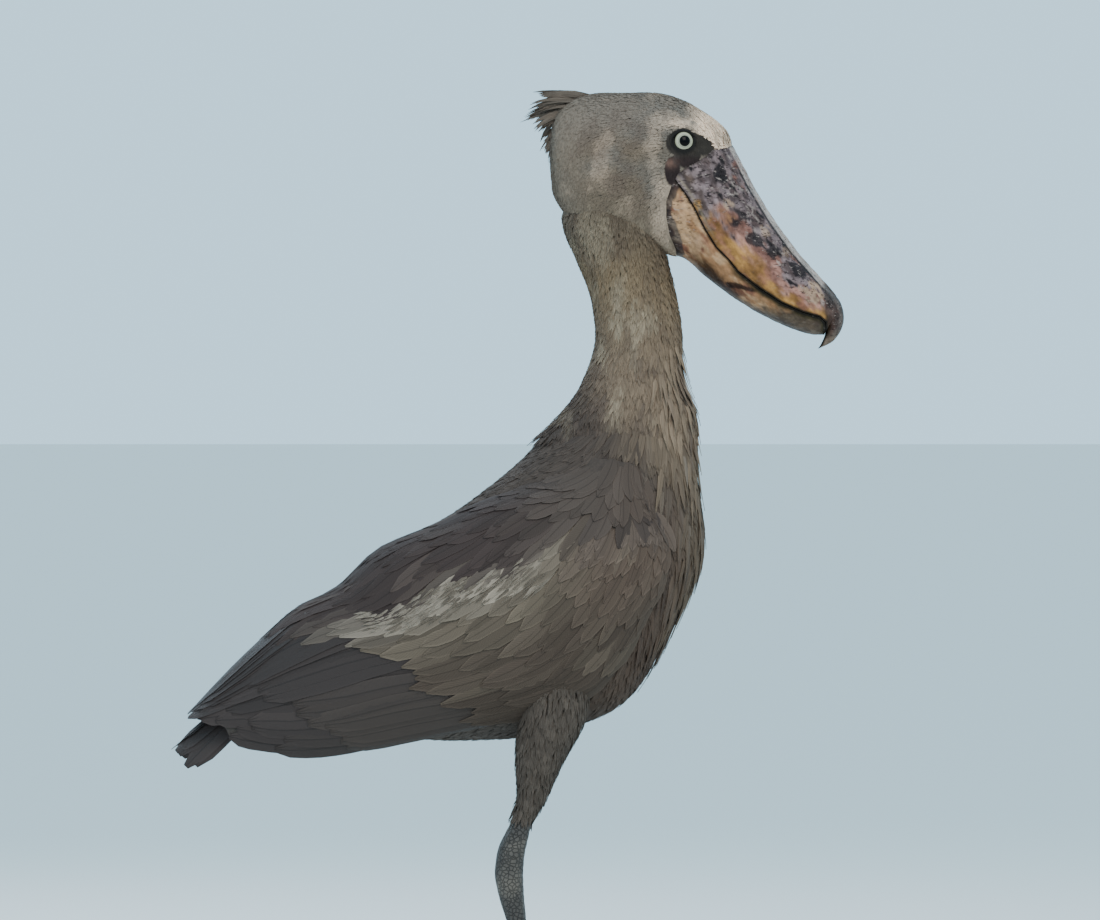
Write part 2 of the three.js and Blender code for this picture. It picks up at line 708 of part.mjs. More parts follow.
// Legs and feet. A row is a point of the leg's middle line: how far ahead of the foot, its distance
// from the middle as a share of the foot's, its height, and the leg's radius there.
const THIGH = [
  [34, 0.78, 500, 38],
  [26, 0.84, 446, 38],
  [10, 0.94, 396, 29],
  [0, 1, 346, 17],
  [-8, 1, 326, 13],
];
const SHANK = [
  [4, 1, 372, 11],
  [-10, 1, 318, 10],
  [-26, 1, LEG.hock, 16],
  [-16, 1, 190, 9.5],
  [-6, 1, 100, 9],
  [0, 1, LEG.ankle, 12],
  [2, 1, 12, 12],
];
const THIGH_FOOT = { x: LEG.x, z: 344, lean: 14 };
const ANKLE = { x: LEG.x, z: 34, lean: 0 };
const PAD = { size: [17, 16, 15], z: 14 };
// Along a toe, from the foot's middle to its end: share of the length, how far its middle line lies
// above the thickest part's, and how much thicker it is.
const TOE_LINE = [
  [0, 5, 2],
  [0.14, 3, 1],
  [0.34, 0, 0],
  [0.55, 0, -0.9],
  [0.78, -1.2, -1.1],
  [1, -2, TOE.thin - TOE.thick],
];
// Along a claw: distance beyond the toe's end as a start and a share of the claw's length, height, radius.
const CLAW_LINE = [
  [-6, 0, 7, 4.6],
  [0, 0.25, 7.6, 4.2],
  [0, 0.66, 6, 2.8],
  [0, 1, 2.2, 0.6],
];

function legPart(side, rows, facets, rings, grow = 0) {
  const points = rows.map(([ahead, share, z]) => [LEG.x + ahead, side * LEG.apart * share, z]);
  return limb(points, rows.map((row) => row[3] + grow), facets, rings);
}

const thighPart = (side, grow) => legPart(side, THIGH, 16, 7, grow);
const shankPart = (side) => legPart(side, SHANK, 10, 16);

function toeEnd(side, degrees, length) {
  const a = THREE.MathUtils.degToRad(degrees);
  return [LEG.x + length * Math.cos(a), side * (LEG.apart + length * Math.sin(a))];
}

function toe(side, degrees, length, grow = 0) {
  const level = TOE.thick - TOE.press;
  const points = TOE_LINE.map(([share, up]) => [...toeEnd(side, degrees, length * share), level + up]);
  return limb(points, TOE_LINE.map((row) => TOE.thick + row[2] + grow), 8, 6);
}

function claw(side, degrees, toeLength, length) {
  const beyond = ([start, share]) => toeLength + start + length * share;
  const points = CLAW_LINE.map((row) => [...toeEnd(side, degrees, beyond(row)), row[2]]);
  return limb(points, CLAW_LINE.map((row) => row[3]), 6, 4);
}

function foot(side) {
  const pad = new THREE.SphereGeometry(1, 12, 6);
  pad.scale(...PAD.size);
  pad.translate(LEG.x, side * LEG.apart, PAD.z);
  const ankle = below(shankPart(side), ANKLE);
  const toes = TOES.map(([, degrees, length]) => toe(side, degrees, length));
  return largest(join([solidOf(pad), ankle, ...toes]).trimByPlane([0, 0, 1], 0));
}

function thigh(side) {
  return largest(above(thighPart(side, 0), THIGH_FOOT).subtract(trunkRoom));
}

function shank(side) {
  return largest(above(below(shankPart(side), THIGH_FOOT), ANKLE));
}

function clawSolid(side, [, degrees, length, clawLength]) {
  return largest(claw(side, degrees, length, clawLength).subtract(toe(side, degrees, length, GAP)));
}

// The parts and their looks
const LOOKS = {
  plumage: { color: 0x6b6259, roughness: 0.9 },
  wing: { color: 0x4a4541, roughness: 0.8 },
  bill: { color: 0xa98a6c, roughness: 0.55 },
  eye: { color: 0xb9bca4, roughness: 0.1 },
  leg: { color: 0x4b4a47, roughness: 0.7 },
  claw: { color: 0x3a3530, roughness: 0.5 },
};

const shoebill = new THREE.Group();

function show(name, solid, look) {
  const material = new THREE.MeshStandardMaterial({ ...LOOKS[look], metalness: 0 });
  const mesh = new THREE.Mesh(geometryOf(largest(solid.asOriginal().simplify(FINE))), material);
  mesh.name = name;
  shoebill.add(mesh);
}

show('head', headSolid, 'plumage');
show('bill_upper', upperBillSolid, 'bill');
show('bill_lower', lowerBill, 'bill');
show('neck', neckNode, 'plumage');
show('torso', torsoSolid, 'plumage');
show('tail', tailSolid, 'wing');
for (const [side, word] of [[LEFT, 'left'], [RIGHT, 'right']]) {
  show(`eye_${word}`, eyeball(side, EYE.radius), 'eye');
  show(`wing_${word}`, wing(side), 'wing');
  show(`thigh_${word}`, thigh(side), 'plumage');
  show(`shank_${word}`, shank(side), 'leg');
  show(`foot_${word}`, foot(side), 'leg');
  for (const row of TOES) show(`claw_${row[0]}_${word}`, clawSolid(side, row), 'claw');
}

export default shoebill;
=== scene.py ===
"""A life-size shoebill, standing: skin, bill, eyes, legs and every feather round the solid frame.

Shapes are worked out in millimetres in the frame's own axes (+X ahead, +Y the bird's left, +Z up) and
put into the meshes in metres. A surface is a function of two numbers, and feathers are walked over it.
"""

import logging
import math
from dataclasses import dataclass, field, replace
from enum import Enum
from typing import Callable, Sequence

import bpy
import numpy as np
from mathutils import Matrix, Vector


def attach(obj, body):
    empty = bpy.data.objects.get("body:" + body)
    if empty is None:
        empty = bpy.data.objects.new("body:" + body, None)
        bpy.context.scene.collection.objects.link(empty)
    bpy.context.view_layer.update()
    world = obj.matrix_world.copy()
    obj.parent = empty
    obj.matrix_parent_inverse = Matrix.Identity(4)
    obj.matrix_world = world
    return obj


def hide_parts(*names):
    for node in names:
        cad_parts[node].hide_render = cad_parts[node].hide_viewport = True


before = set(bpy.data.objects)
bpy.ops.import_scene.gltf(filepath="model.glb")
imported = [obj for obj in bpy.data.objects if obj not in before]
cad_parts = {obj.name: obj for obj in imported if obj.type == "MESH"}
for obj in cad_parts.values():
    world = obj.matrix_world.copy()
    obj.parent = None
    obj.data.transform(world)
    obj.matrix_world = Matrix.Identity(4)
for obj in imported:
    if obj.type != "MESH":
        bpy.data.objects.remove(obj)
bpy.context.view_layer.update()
LOG = logging.getLogger("shoebill")

Array = np.ndarray
Generator = np.random.Generator
Tree, Socket, Material = bpy.types.NodeTree, bpy.types.NodeSocket, bpy.types.Material
Mesh, Object = bpy.types.Mesh, bpy.types.Object
Rows = Sequence[Sequence[float]]
Pair = tuple[float, float]
Four = tuple[float, float, float, float]
# Functions of one, two or three arrays of numbers or points.
OfOne = Callable[[Array], Array]
OfTwo = Callable[[Array, Array], Array]
OfThree = Callable[[Array, Array, Array], Array]

MM = 0.001
LEFT, RIGHT = 1, -1
SIDE_NAMES = {LEFT: "left", RIGHT: "right"}
BODY = "root"
# Edges sharper than these degrees stay sharp, on a feather and on a solid piece.
SHARP = {"feather": 60, "solid": 48}
# What the three numbers of a cell are multiplied by, for a random value at each of its corners.
LATTICE_PRIMES = (73856093, 19349663, 83492791)
# Half the size of a feather's patch on the unwrap.
TUFT_UV = 0.0015

# Outlines seen from the side. A station is a slice through the body, from its back edge to its front
# edge: back x, back z, front x, front z, half of its width, how square it is.
TRUNK = (
    (59, 782, 214, 770, 50, 2.0),
    (18, 733, 219, 697, 72, 2.0),
    (-42, 684, 222, 617, 88, 2.1),
    (-90, 653, 188, 537, 98, 2.2),
    (-149, 625, 131, 451, 98, 2.2),
    (-195, 583, 40, 416, 87, 2.1),
    (-228, 540, -55, 408, 66, 2.0),
    (-250, 498, -140, 412, 44, 2.0),
)
WING_BED = TRUNK[:6] + (
    (-243, 559, -66, 397, 80, 2.2),
    (-280, 527, -150, 378, 70, 2.4),
    (-315, 494, -228, 362, 60, 2.4),
    (-347, 461, -300, 362, 52, 2.3),
    (-370, 436, -350, 380, 44, 2.2),
)
NECK = (
    (41, 765, 216, 745, 54, 2.0),
    (68, 793, 214, 782, 50, 2.0),
    (86, 825, 203, 818, 45, 2.0),
    (98, 859, 199, 855, 42, 2.0),
    (98, 894, 196, 890, 40, 2.0),
    (90, 928, 190, 926, 40, 2.0),
    (77, 963, 184, 958, 41, 2.0),
    (64, 999, 178, 990, 42, 2.0),
    (66, 1041, 169, 1023, 42, 2.0),
)
SKULL = (
    (50, 1098, 50, 1076, 14, 2.0),
    (56, 1128, 54, 1036, 35, 2.0),
    (76, 1144, 72, 1008, 47, 2.1),
    (110, 1149, 105, 992, 53, 2.2),
    (151, 1150, 141, 984, 55, 2.2),
    (191, 1145, 168, 974, 54, 2.2),
    (224, 1129, 186, 966, 53, 2.2),
    (248, 1108, 199, 962, 52, 2.2),
    (262, 1081, 210, 955, 51, 2.3),
    (279, 1047, 227, 939, 51, 2.4),
    (303, 1007, 259, 915, 51, 2.5),
    (329, 971, 291, 896, 49, 2.5),
    (353, 944, 321, 882, 44, 2.4),
    (370, 925, 346, 874, 34, 2.2),
    (380, 911, 362, 873, 22, 2.0),
)
NAIL = (
    (368, 926, 349, 900, 26, 2.0),
    (380, 913, 358, 893, 22, 2.0),
    (385, 897, 364, 886, 16, 2.0),
    (382, 880, 363, 874, 10, 2.0),
    (373, 867, 359, 864, 5.5, 2.0),
    (360, 860, 355, 858, 1.6, 2.0),
)
# For each station of the folded wing: its upper and lower border in degrees down from the middle of
# the back, how thick it is, and how deep its inner face lies.
WING = (
    (66, 104, 5, -7),
    (66, 108, 7, -7),
    (26, 132, 24, -7),
    (14, 138, 25, -7),
    (9, 139, 21, -7),
    (7, 138, 16, -6),
    (6, 136, 12, -3),
    (6, 128, 9, -1),
    (8, 112, 6, -1),
    (10, 90, 4, -1),
    (10, 70, 4, -1),
)
# Seen from the side, from above down: where the feathers end and the bill begins, and the mouth.
BILL_BASE = (
    (284, 1112), (262, 1094), (250, 1088), (233, 1085), (225, 1077), (213, 1070), (202, 1064), (193, 1057),
    (184, 1044), (178, 1026), (178, 1008), (182, 988), (189, 972), (193, 950), (195, 925),
)
MOUTH = (
    (184, 1058), (201, 1036), (212, 1019), (224, 995), (237, 974), (252, 959), (262, 946), (286, 927),
    (312, 910), (337, 899), (356, 894), (363, 888), (364, 876), (358, 862), (348, 846),
)
GAPE = (189.8, 1050.6)
BILL_FROM = 7.4
EYE = {"x": 198.5, "y": 41.0, "z": 1094.5, "radius": 13.0, "opening": 11.0}
EYE_LOOK = np.array([0.22, 1.0, 0.05])
LEG = {"x": 26.0, "apart": 64.0, "hock": 262.0, "ankle": 24.0}
TOES = {"middle": (3, 148, 26), "inner": (-26, 112, 22), "outer": (35, 124, 22), "hind": (188, 72, 24)}
TOE = {"thick": 8.6, "thin": 6.2, "press": 0.8}
TAIL = {
    "length": 258.0, "slope": 40.0, "half": 37.0, "root_half": 20.0, "droop": 38.0, "core": 40.0, "x": -190.0,
    "z": 563.0
}
# The eye's rings from the pupil's middle outwards: share of the eyeball's radius, and colour.
EYE_RINGS = (
    (0.0, "010101"), (0.43, "020202"), (0.47, "3b3a33"), (0.52, "a19f89"), (0.58, "7a7866"),
    (0.62, "aeab93"), (0.76, "99967c"), (0.81, "4a4639"), (0.84, "0d0b0a"), (1.0, "0a0807"),
)
# Pale flakes and dark nicks in the horn: scale, where the mask begins and ends, strength and colour.
HORN_FLAKES = ((300.0, 0.57, 0.66, 0.7, "9a8a82"), (340.0, 0.55, 0.63, 0.8, "1d1718"))
# The way the bill points: degrees below level, and the cosine and sine of it.
BILL_SLOPE, BILL_COS, BILL_SIN = 43.6, 0.724, 0.69


def linear(colour: str) -> Array:
    """Turns a colour written as six hex digits into linear red, green and blue.

    Args:
        colour: Six hex digits.

    Returns:
        Three linear values: v / 12.92 below 0.04045, else ((v + 0.055) / 1.055) to the power 2.4.
    """
    v = np.array([int(colour[i : i + 2], 16) / 255 for i in (0, 2, 4)])
    return np.where(v <= 0.04045, v / 12.92, ((v + 0.055) / 1.055) ** 2.4)


def smooth(low: float, high: float, value: Array) -> Array:
    """A soft step from 0 at low to 1 at high: 3 t squared less 2 t cubed."""
    t = np.clip((value - low) / (high - low), 0, 1)
    return t * t * (3 - 2 * t)


def dye(colour: Array | str) -> Array:
    """A linear colour as it is, or the one named in TONES or written as six hex digits."""
    return linear(TONES.get(colour, colour)) if isinstance(colour, str) else colour


def mix(a: Array | str, b: Array | str, share: Array) -> Array:
    """Blends colours a and b by a share for each point."""
    share = np.asarray(share)[..., None]
    return dye(a) * (1 - share) + dye(b) * share


def bell(u: Array, wide: float) -> Array:
    """1 where u is 0 and less on both sides: e to the power of minus (u / wide) squared."""
    return np.exp(-((u / wide) ** 2))


def oval(u: Array, wide: float, v: Array, high: float) -> Array:
    """A soft oval: e to the power of minus (u / wide) squared minus (v / high) squared."""
    return np.exp(-((u / wide) ** 2) - (v / high) ** 2)


def unit(vectors: Array) -> Array:
    """Each vector divided by its own length."""
    return vectors / np.maximum(np.linalg.norm(vectors, axis=-1, keepdims=True), 1e-9)


def cloud(points: Array, size: float, seed: int = 0, octaves: int = 3) -> Array:
    """Smooth random values in space.

    For each octave, space is a lattice of cells half as large as before. A point's value blends the
    eight random corner values of its cell by the soft step of its offsets inside the cell.

    Args:
        points: Any array of points.
        size: Cell size of the first octave, in the points' own unit.
        seed: Picks another field.
        octaves: How many layers of finer cells are added, each half as strong.

    Returns:
        One value a point, from about -1 to 1.
    """
    total, weight, whole = 0.0, 1.0, 0.0
    for octave in range(octaves):
        q = points / (size / 2**octave) + seed * 7.31
        cell = np.floor(q)
        f = q - cell
        f = f * f * (3 - 2 * f)
        cell = cell.astype(np.int64)
        value = np.zeros(points.shape[:-1])
        for corner in range(8):
            o = np.array([(corner >> k) & 1 for k in range(3)])
            n = cell + o
            i, j, k = (n[..., axis] * prime for axis, prime in enumerate(LATTICE_PRIMES))
            h = i ^ j ^ k ^ (seed * 97 + octave)
            h = ((h ^ (h >> 13)) * 1274126177) & 0xFFFFFFFF
            value += (((h ^ (h >> 16)) & 0xFFFF) / 32767.5 - 1) * np.prod(np.where(o == 1, f, 1 - f), axis=-1)
        total = total + value * weight
        whole += weight
        weight *= 0.5
    return np.clip(total / whole * 1.7, -1, 1)


def between(rows: Rows, s: Array) -> Array:
    """Reads a smooth line through rows of numbers.

    Args:
        rows: One row of numbers a station.
        s: Stations, whole or between.

    Returns:
        The Catmull-Rom curve through the rows at each s, with the end rows held.
    """
    table = np.asarray(rows, float)
    last = len(table) - 1
    at = np.clip(s, 0, last)
    i = np.minimum(np.floor(at).astype(int), last - 1)
    t = (at - i)[..., None]
    p, q, r, v = (table[np.clip(i + k, 0, last)] for k in (-1, 0, 1, 2))
    bend = (2 * p - 5 * q + 4 * r - v) * t**2 + (3 * q - p - 3 * r + v) * t**3
    return q + 0.5 * ((r - p) * t + bend)


class Surface:
    """A surface of two numbers a and b, with its place on the unwrap of the whole skin."""

    span_a: Pair = (0.0, 1.0)
    span_b: Pair = (0.0, 360.0)
    patch: Four = (0.0, 0.0, 1.0, 1.0)

    def point(self, a: Array, b: Array) -> Array:
        """The point at a, b."""
        raise NotImplementedError

    def core(self, a: Array) -> Array:
        """A point inside the surface at a, which tells outside from inside."""
        raise NotImplementedError

    def tangents(self, a: Array, b: Array) -> tuple[Array, Array]:
        """How the point moves with a and with b, from differences of nearby points."""
        da = (self.span_a[1] - self.span_a[0]) * 1e-3
        db = (self.span_b[1] - self.span_b[0]) * 1e-3
        inside = np.clip(a, self.span_a[0] + da, self.span_a[1] - da)
        along = (self.point(inside + da, b) - self.point(inside - da, b)) / (2 * da)
        round_ = (self.point(inside, b + db) - self.point(inside, b - db)) / (2 * db)
        return along, round_

    def normal(self, a: Array, b: Array) -> Array:
        """The outward direction: the cross product of the tangents, turned away from the core."""
        along, round_ = self.tangents(a, b)
        n = unit(np.cross(along, round_))
        out = self.point(a, b) - self.core(a)
        return n * np.where(np.sum(n * out, axis=-1, keepdims=True) < 0, -1.0, 1.0)

    def unwrap(self, a: Array, b: Array) -> Array:
        """The place of a, b on the flat unwrap: its own rectangle, filled evenly by a and b."""
        left, low, wide, high = self.patch
        u = left + wide * (b - self.span_b[0]) / (self.span_b[1] - self.span_b[0])
        v = low + high * (a - self.span_a[0]) / (self.span_a[1] - self.span_a[0])
        return np.clip(np.stack([u, v], axis=-1), 0.003, 0.997)


class Form(Surface):
    """A body of soft slices. b goes round a slice: 0 left, 90 back, 180 right, 270 front."""

    def __init__(
        self,
        stations: Rows,
        patch: Four,
        relief: OfTwo | None = None,
    ) -> None:
        """Keeps the stations, the place on the unwrap and the relief of the back and front edges."""
        self.stations = stations
        self.patch = patch
        self.relief = relief
        self.span_a = (0.0, float(len(stations) - 1))

    def point(self, a: Array, b: Array) -> Array:
        """The slice's middle, plus half its depth by the sine and half its width by the cosine of b,
        each with the power 2 / squareness, so that a slice can be rounder or squarer than an ellipse."""
        row = between(self.stations, a)
        bx, bz, fx, fz, half, square = (row[..., k] for k in range(6))
        c, d = np.cos(np.radians(b)), np.sin(np.radians(b))
        across = np.sign(c) * np.abs(c) ** (2 / square)
        up = np.sign(d) * np.abs(d) ** (2 / square)
        if self.relief is not None:
            up = up + self.relief(a, b) * np.sign(d) / np.hypot(bx - fx, bz - fz)
        x = (bx + fx) / 2 + (bx - fx) / 2 * up
        z = (bz + fz) / 2 + (bz - fz) / 2 * up
        return np.stack([x, across * half, z], axis=-1)

    def core(self, a: Array) -> Array:
        """The middle of the slice at a."""
        row = between(self.stations, a)
        return np.stack(
            [(row[..., 0] + row[..., 2]) / 2, row[..., 0] * 0, (row[..., 1] + row[..., 3]) / 2], -1
        )

    def holds(self, points: Array, margin: float) -> Array:
        """Tells which points lie deeper inside the body than a margin.

        Args:
            points: Points, one a row.
            margin: Depth in millimetres.

        Returns:
            True where the point, on the slice whose plane it is nearest, has a sum of powered offsets
            below that of the shrunken slice.
        """
        s = np.linspace(self.span_a[0], self.span_a[1], 240)
        row = between(self.stations, s)
        middle = self.core(s)
        ahead = unit(np.gradient(middle, axis=0))
        back = np.stack([row[:, 0] - row[:, 2], row[:, 0] * 0, row[:, 1] - row[:, 3]], -1) / 2
        depth = np.linalg.norm(back, axis=-1)
        plane = unit(np.cross(back, np.array([0.0, 1.0, 0.0])))
        plane = plane * np.sign(np.sum(plane * ahead, axis=-1, keepdims=True))
        off = points[:, None, :] - middle[None]
        away = np.abs(np.sum(off * plane[None], axis=-1))
        k = np.argmin(away + 0.02 * np.linalg.norm(off, axis=-1), axis=1)
        one = np.arange(len(points))
        rel = off[one, k]
        deep = np.abs(np.sum(rel * unit(back)[k], axis=-1)) / np.maximum(depth[k] - margin, 1)
        wide = np.abs(rel[:, 1]) / np.maximum(row[k, 4] - margin, 1)
        inside = deep ** row[k, 5] + wide ** row[k, 5] < 1
        return inside & (away[one, k] < 4)


class Wing(Surface):
    """A folded wing on its bed. b is the share from its upper border, 0, to its lower border, 1."""

    def __init__(self, side: int, patch: Four) -> None:
        """Keeps the side and the bed that the wing lies on."""
        self.side = side
        self.bed = Form(WING_BED, patch)
        self.patch = patch
        self.span_a = (0.6, 10.0)
        self.span_b = (0.0, 1.0)

    def degrees(self, a: Array, b: Array) -> Array:
        """The bed's degrees at a share of the wing."""
        row = between(WING, a)
        down = row[..., 0] + (row[..., 1] - row[..., 0]) * b
        return 90 - self.side * down

    def rise(self, a: Array, b: Array) -> Array:
        """How far the wing stands out of its bed: its thickness by 0.2 plus 0.8 of a powered sine."""
        share = np.clip(b, 0, 1)
        swell = np.where(share < 0.5, 1.25, 0.7)
        return between(WING, a)[..., 2] * (0.2 + 0.8 * np.sin(np.pi * share) ** swell)

    def point(self, a: Array, b: Array) -> Array:
        """The bed's point moved out along the bed's normal by the rise."""
        degrees = self.degrees(a, b)
        return self.bed.point(a, degrees) + self.bed.normal(a, degrees) * self.rise(a, b)[..., None]

    def core(self, a: Array) -> Array:
        """The middle of the bed's slice."""
        return self.bed.core(a)

    def inner(self, a: Array, b: Array) -> Array:
        """The wing's inner face, sunk into the bed."""
        degrees = self.degrees(a, b)
        return self.bed.point(a, degrees) + self.bed.normal(a, degrees) * between(WING, a)[..., 3][..., None]


class Limb(Surface):
    """A round bar along a smooth line, with a radius at each of its points. b is degrees round it."""

    def __init__(self, points: Rows, radii: Sequence[float], patch: Four) -> None:
        """Keeps the line, x, y, z and radius a row."""
        self.rows = [(*p, r) for p, r in zip(points, radii)]
        self.patch = patch
        self.span_a = (0.0, float(len(radii) - 1))

    def core(self, a: Array) -> Array:
        """The line's own point."""
        return between(self.rows, a)[..., :3]

    def point(self, a: Array, b: Array) -> Array:
        """The line's point plus the radius by the cosine of b sideways and by its sine upwards, where
        sideways is the left direction made square to the line."""
        low, high = self.span_a
        ahead = unit(self.core(np.clip(a + 0.02, low, high)) - self.core(np.clip(a - 0.02, low, high)))
        across = unit(np.array([0.0, 1.0, 0.0]) - ahead * ahead[..., 1:2])
        up = np.cross(ahead, across)
        radius = between(self.rows, a)[..., 3:4]
        turn = np.radians(b)[..., None]
        return self.core(a) + radius * (across * np.cos(turn) + up * np.sin(turn))


class Fan(Surface):
    """The folded tail, low like a roof. a is the share of its length, b the share across, -1 to 1."""

    def __init__(self, patch: Four) -> None:
        """Keeps the place on the unwrap."""
        self.patch = patch
        self.span_a = (0.0, 1.0)
        self.span_b = (-1.0, 1.0)

    def point(self, a: Array, b: Array) -> Array:
        """A straight line down the slope, spread sideways and lowered by the droop by b squared."""
        slope = math.radians(TAIL["slope"])
        along = a * TAIL["length"]
        half = TAIL["root_half"] + (TAIL["half"] - TAIL["root_half"]) * a
        height = -TAIL["droop"] * (b * half / TAIL["half"]) ** 2
        x = TAIL["x"] - along * math.cos(slope) - height * math.sin(slope)
        z = TAIL["z"] - along * math.sin(slope) + height * math.cos(slope)
        return np.stack([x, b * half, z], axis=-1)

    def core(self, a: Array) -> Array:
        """A point under the roof's ridge."""
        middle = self.point(a, a * 0)
        slope = math.radians(TAIL["slope"])
        return middle + np.array([math.sin(slope), 0, -math.cos(slope)]) * TAIL["core"]


@dataclass
class Shell:
    """Points and faces of one mesh, with a value a point for each of its attributes."""

    points: Array
    quads: Array = field(default_factory=lambda: np.zeros((0, 4), int))
    tris: Array = field(default_factory=lambda: np.zeros((0, 3), int))
    tint: Array | None = None
    vane: Array | None = None
    uv: Array | None = None


def join_shells(shells: Sequence[Shell]) -> Shell:
    """Puts shells one after another into one, each one's faces moved on by the points before it."""
    start = np.cumsum([0] + [len(s.points) for s in shells[:-1]])

    def stack(name: str) -> Array | None:
        """The attribute of all the shells, or None where one has none."""
        values = [getattr(s, name) for s in shells]
        return None if any(v is None for v in values) else np.concatenate(values)

    return Shell(
        np.concatenate([s.points for s in shells]),
        np.concatenate([s.quads + n for s, n in zip(shells, start)]),
        np.concatenate([s.tris + n for s, n in zip(shells, start)]),
        stack("tint"),
        stack("vane"),
        stack("uv"),
    )


def closed_rings(rings: Array) -> Shell:
    """Closes rings of points into a shell with a fan at each end.

    Args:
        rings: Points as ring, place on the ring, xyz.

    Returns:
        The shell: a quad between neighbours on neighbouring rings, triangles to each end's middle.
    """
    count, sides = rings.shape[:2]
    index = np.arange(count * sides).reshape(count, sides)
    nxt = np.roll(index, -1, axis=1)
    quads = np.stack([index[:-1], nxt[:-1], nxt[1:], index[1:]], -1).reshape(-1, 4)
    ends = np.array([rings[0].mean(0), rings[-1].mean(0)])
    first, last = count * sides, count * sides + 1
    tris = np.concatenate([
        np.stack([nxt[0], index[0], np.full(sides, first)], -1),
        np.stack([index[-1], nxt[-1], np.full(sides, last)], -1),
    ])
    return Shell(np.concatenate([rings.reshape(-1, 3), ends]), quads, tris)


def body_shell(
    form: Surface, rings: int, sides: int, lift: OfThree,
    span: Pair, domes: Pair = (0, 0),
) -> Shell:
    """A closed loft of a surface that goes round.

    Args:
        form: The surface.
        rings: Rings from one end to the other.
        sides: Points a ring.
        lift: Gives the millimetres out of the surface from a, b and the points.
        span: First and last a.
        domes: Heights of the rounded ends: rings of cosine size moved out by the sine of their angle.

    Returns:
        The closed shell.
    """
    a = np.linspace(span[0], span[1], rings)[:, None] * np.ones(sides)
    b = np.arange(sides)[None] * 360 / sides * np.ones((rings, 1))
    p = form.point(a, b)
    made = p + form.normal(a, b) * lift(a, b, p)[..., None]
    stack = [made]
    for end, height in ((0, domes[0]), (-1, domes[1])):
        if not height:
            continue
        ring = made[end]
        centre = ring.mean(0)
        away = unit(centre - made[1 if end == 0 else -2].mean(0))
        angles = np.radians(np.linspace(12, 80, 6))
        caps = np.array(
            [(ring - centre) * math.cos(t) + centre + away * math.sin(t) * height for t in angles]
        )
        stack = [caps[::-1], *stack] if end == 0 else [*stack, caps]
    return closed_rings(np.concatenate(stack))


def plate_shell(outer: Array, inner: Array) -> Shell:
    """A closed plate between an outer and an inner grid of points, joined round their rims."""
    rows, cols = outer.shape[:2]
    index = np.arange(rows * cols).reshape(rows, cols)
    other = index + rows * cols

    def face(g: Array) -> Array:
        """The quads of a grid of point numbers."""
        return np.stack([g[:-1, :-1], g[:-1, 1:], g[1:, 1:], g[1:, :-1]], -1).reshape(-1, 4)

    rim = np.concatenate([index[0, :-1], index[:-1, -1], index[-1, :0:-1], index[:0:-1, 0]])
    turn = np.roll(rim, -1)
    walls = np.stack([turn, rim, rim + rows * cols, turn + rows * cols], -1)
    return Shell(
        np.concatenate([outer.reshape(-1, 3), inner.reshape(-1, 3)]),
        np.concatenate([face(index), face(other)[:, ::-1], walls]),
    )


def linked(name: str, data: bpy.types.ID) -> Object:
    """A new object with some data, linked to the scene."""
    made = bpy.data.objects.new(name, data)
    bpy.context.scene.collection.objects.link(made)
    return made


def store(mesh: Mesh, name: str, values: Array) -> None:
    """Stores an attribute of the points: a colour where it has four numbers, a vector where it has three."""
    kind, key = ("FLOAT_COLOR", "color") if values.shape[1] == 4 else ("FLOAT_VECTOR", "vector")
    mesh.attributes.new(name, kind, "POINT").data.foreach_set(key, values.astype(np.float32).ravel())


def make_object(name: str, shell: Shell, material: Material | None) -> Object:
    """Puts a shell into a new mesh object at the origin.

    Args:
        name: The object's name.
        shell: The shell in millimetres.
        material: The finish of the whole piece, if it has one.

    Returns:
        The object, linked to the scene.
    """
    mesh = bpy.data.meshes.new(name)
    mesh.vertices.add(len(shell.points))
    mesh.vertices.foreach_set("co", (shell.points * MM).astype(np.float32).ravel())
    corners = np.concatenate([shell.quads.ravel(), shell.tris.ravel()]).astype(np.int32)
    mesh.loops.add(len(corners))
    mesh.loops.foreach_set("vertex_index", corners)
    q, t = len(shell.quads), len(shell.tris)
    mesh.polygons.add(q + t)
    starts = np.concatenate([np.arange(q) * 4, q * 4 + np.arange(t) * 3])
    mesh.polygons.foreach_set("loop_start", starts.astype(np.int32))
    mesh.polygons.foreach_set("use_smooth", np.ones(q + t, bool))
    if shell.tint is not None:
        store(mesh, "tint", np.clip(shell.tint, 0, 1))
    if shell.vane is not None:
        store(mesh, "vane", shell.vane)
    if shell.uv is not None:
        layer = mesh.uv_layers.new(name="OFBake")
        layer.data.foreach_set("uv", shell.uv[corners].astype(np.float32).ravel())
    mesh.update(calc_edges=True)
    mesh.validate()
    if shell.vane is not None:
        mesh.set_sharp_from_angle(angle=math.radians(SHARP["feather"]))
    if material is not None:
        mesh.materials.append(material)
    return linked(name, mesh)


def place(piece: Object, slot: str, nodes: Sequence[str] = ()) -> None:
    """Rides a piece on the body, hides the solids it stands for, and logs it."""
    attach(piece, BODY)
    if nodes:
        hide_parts(*nodes)
    LOG.info("%s: %d faces", piece.name, len(piece.data.polygons))


class Outline(Enum):
    """Outlines of a feather: pairs of the share of its length and the share of its half width."""

    DOWN = ((0.0, 0.45), (0.4, 1.0), (0.75, 0.7), (1.0, 0.08))
    LANCE = ((0.0, 0.3), (0.35, 1.0), (0.7, 0.72), (0.9, 0.34), (1.0, 0.05))
    COVERT = ((0.0, 0.4), (0.3, 0.85), (0.6, 1.0), (0.8, 0.82), (0.92, 0.52), (1.0, 0.12))
    BLADE = ((0.0, 0.3), (0.12, 0.7), (0.5, 1.0), (0.86, 0.92), (0.96, 0.7), (1.0, 0.28))

    def width(self, t: Array) -> Array:
        """The share of the half width at t, read between the pairs."""
        pairs = np.array(self.value)
        return np.interp(t, pairs[:, 0], pairs[:, 1])


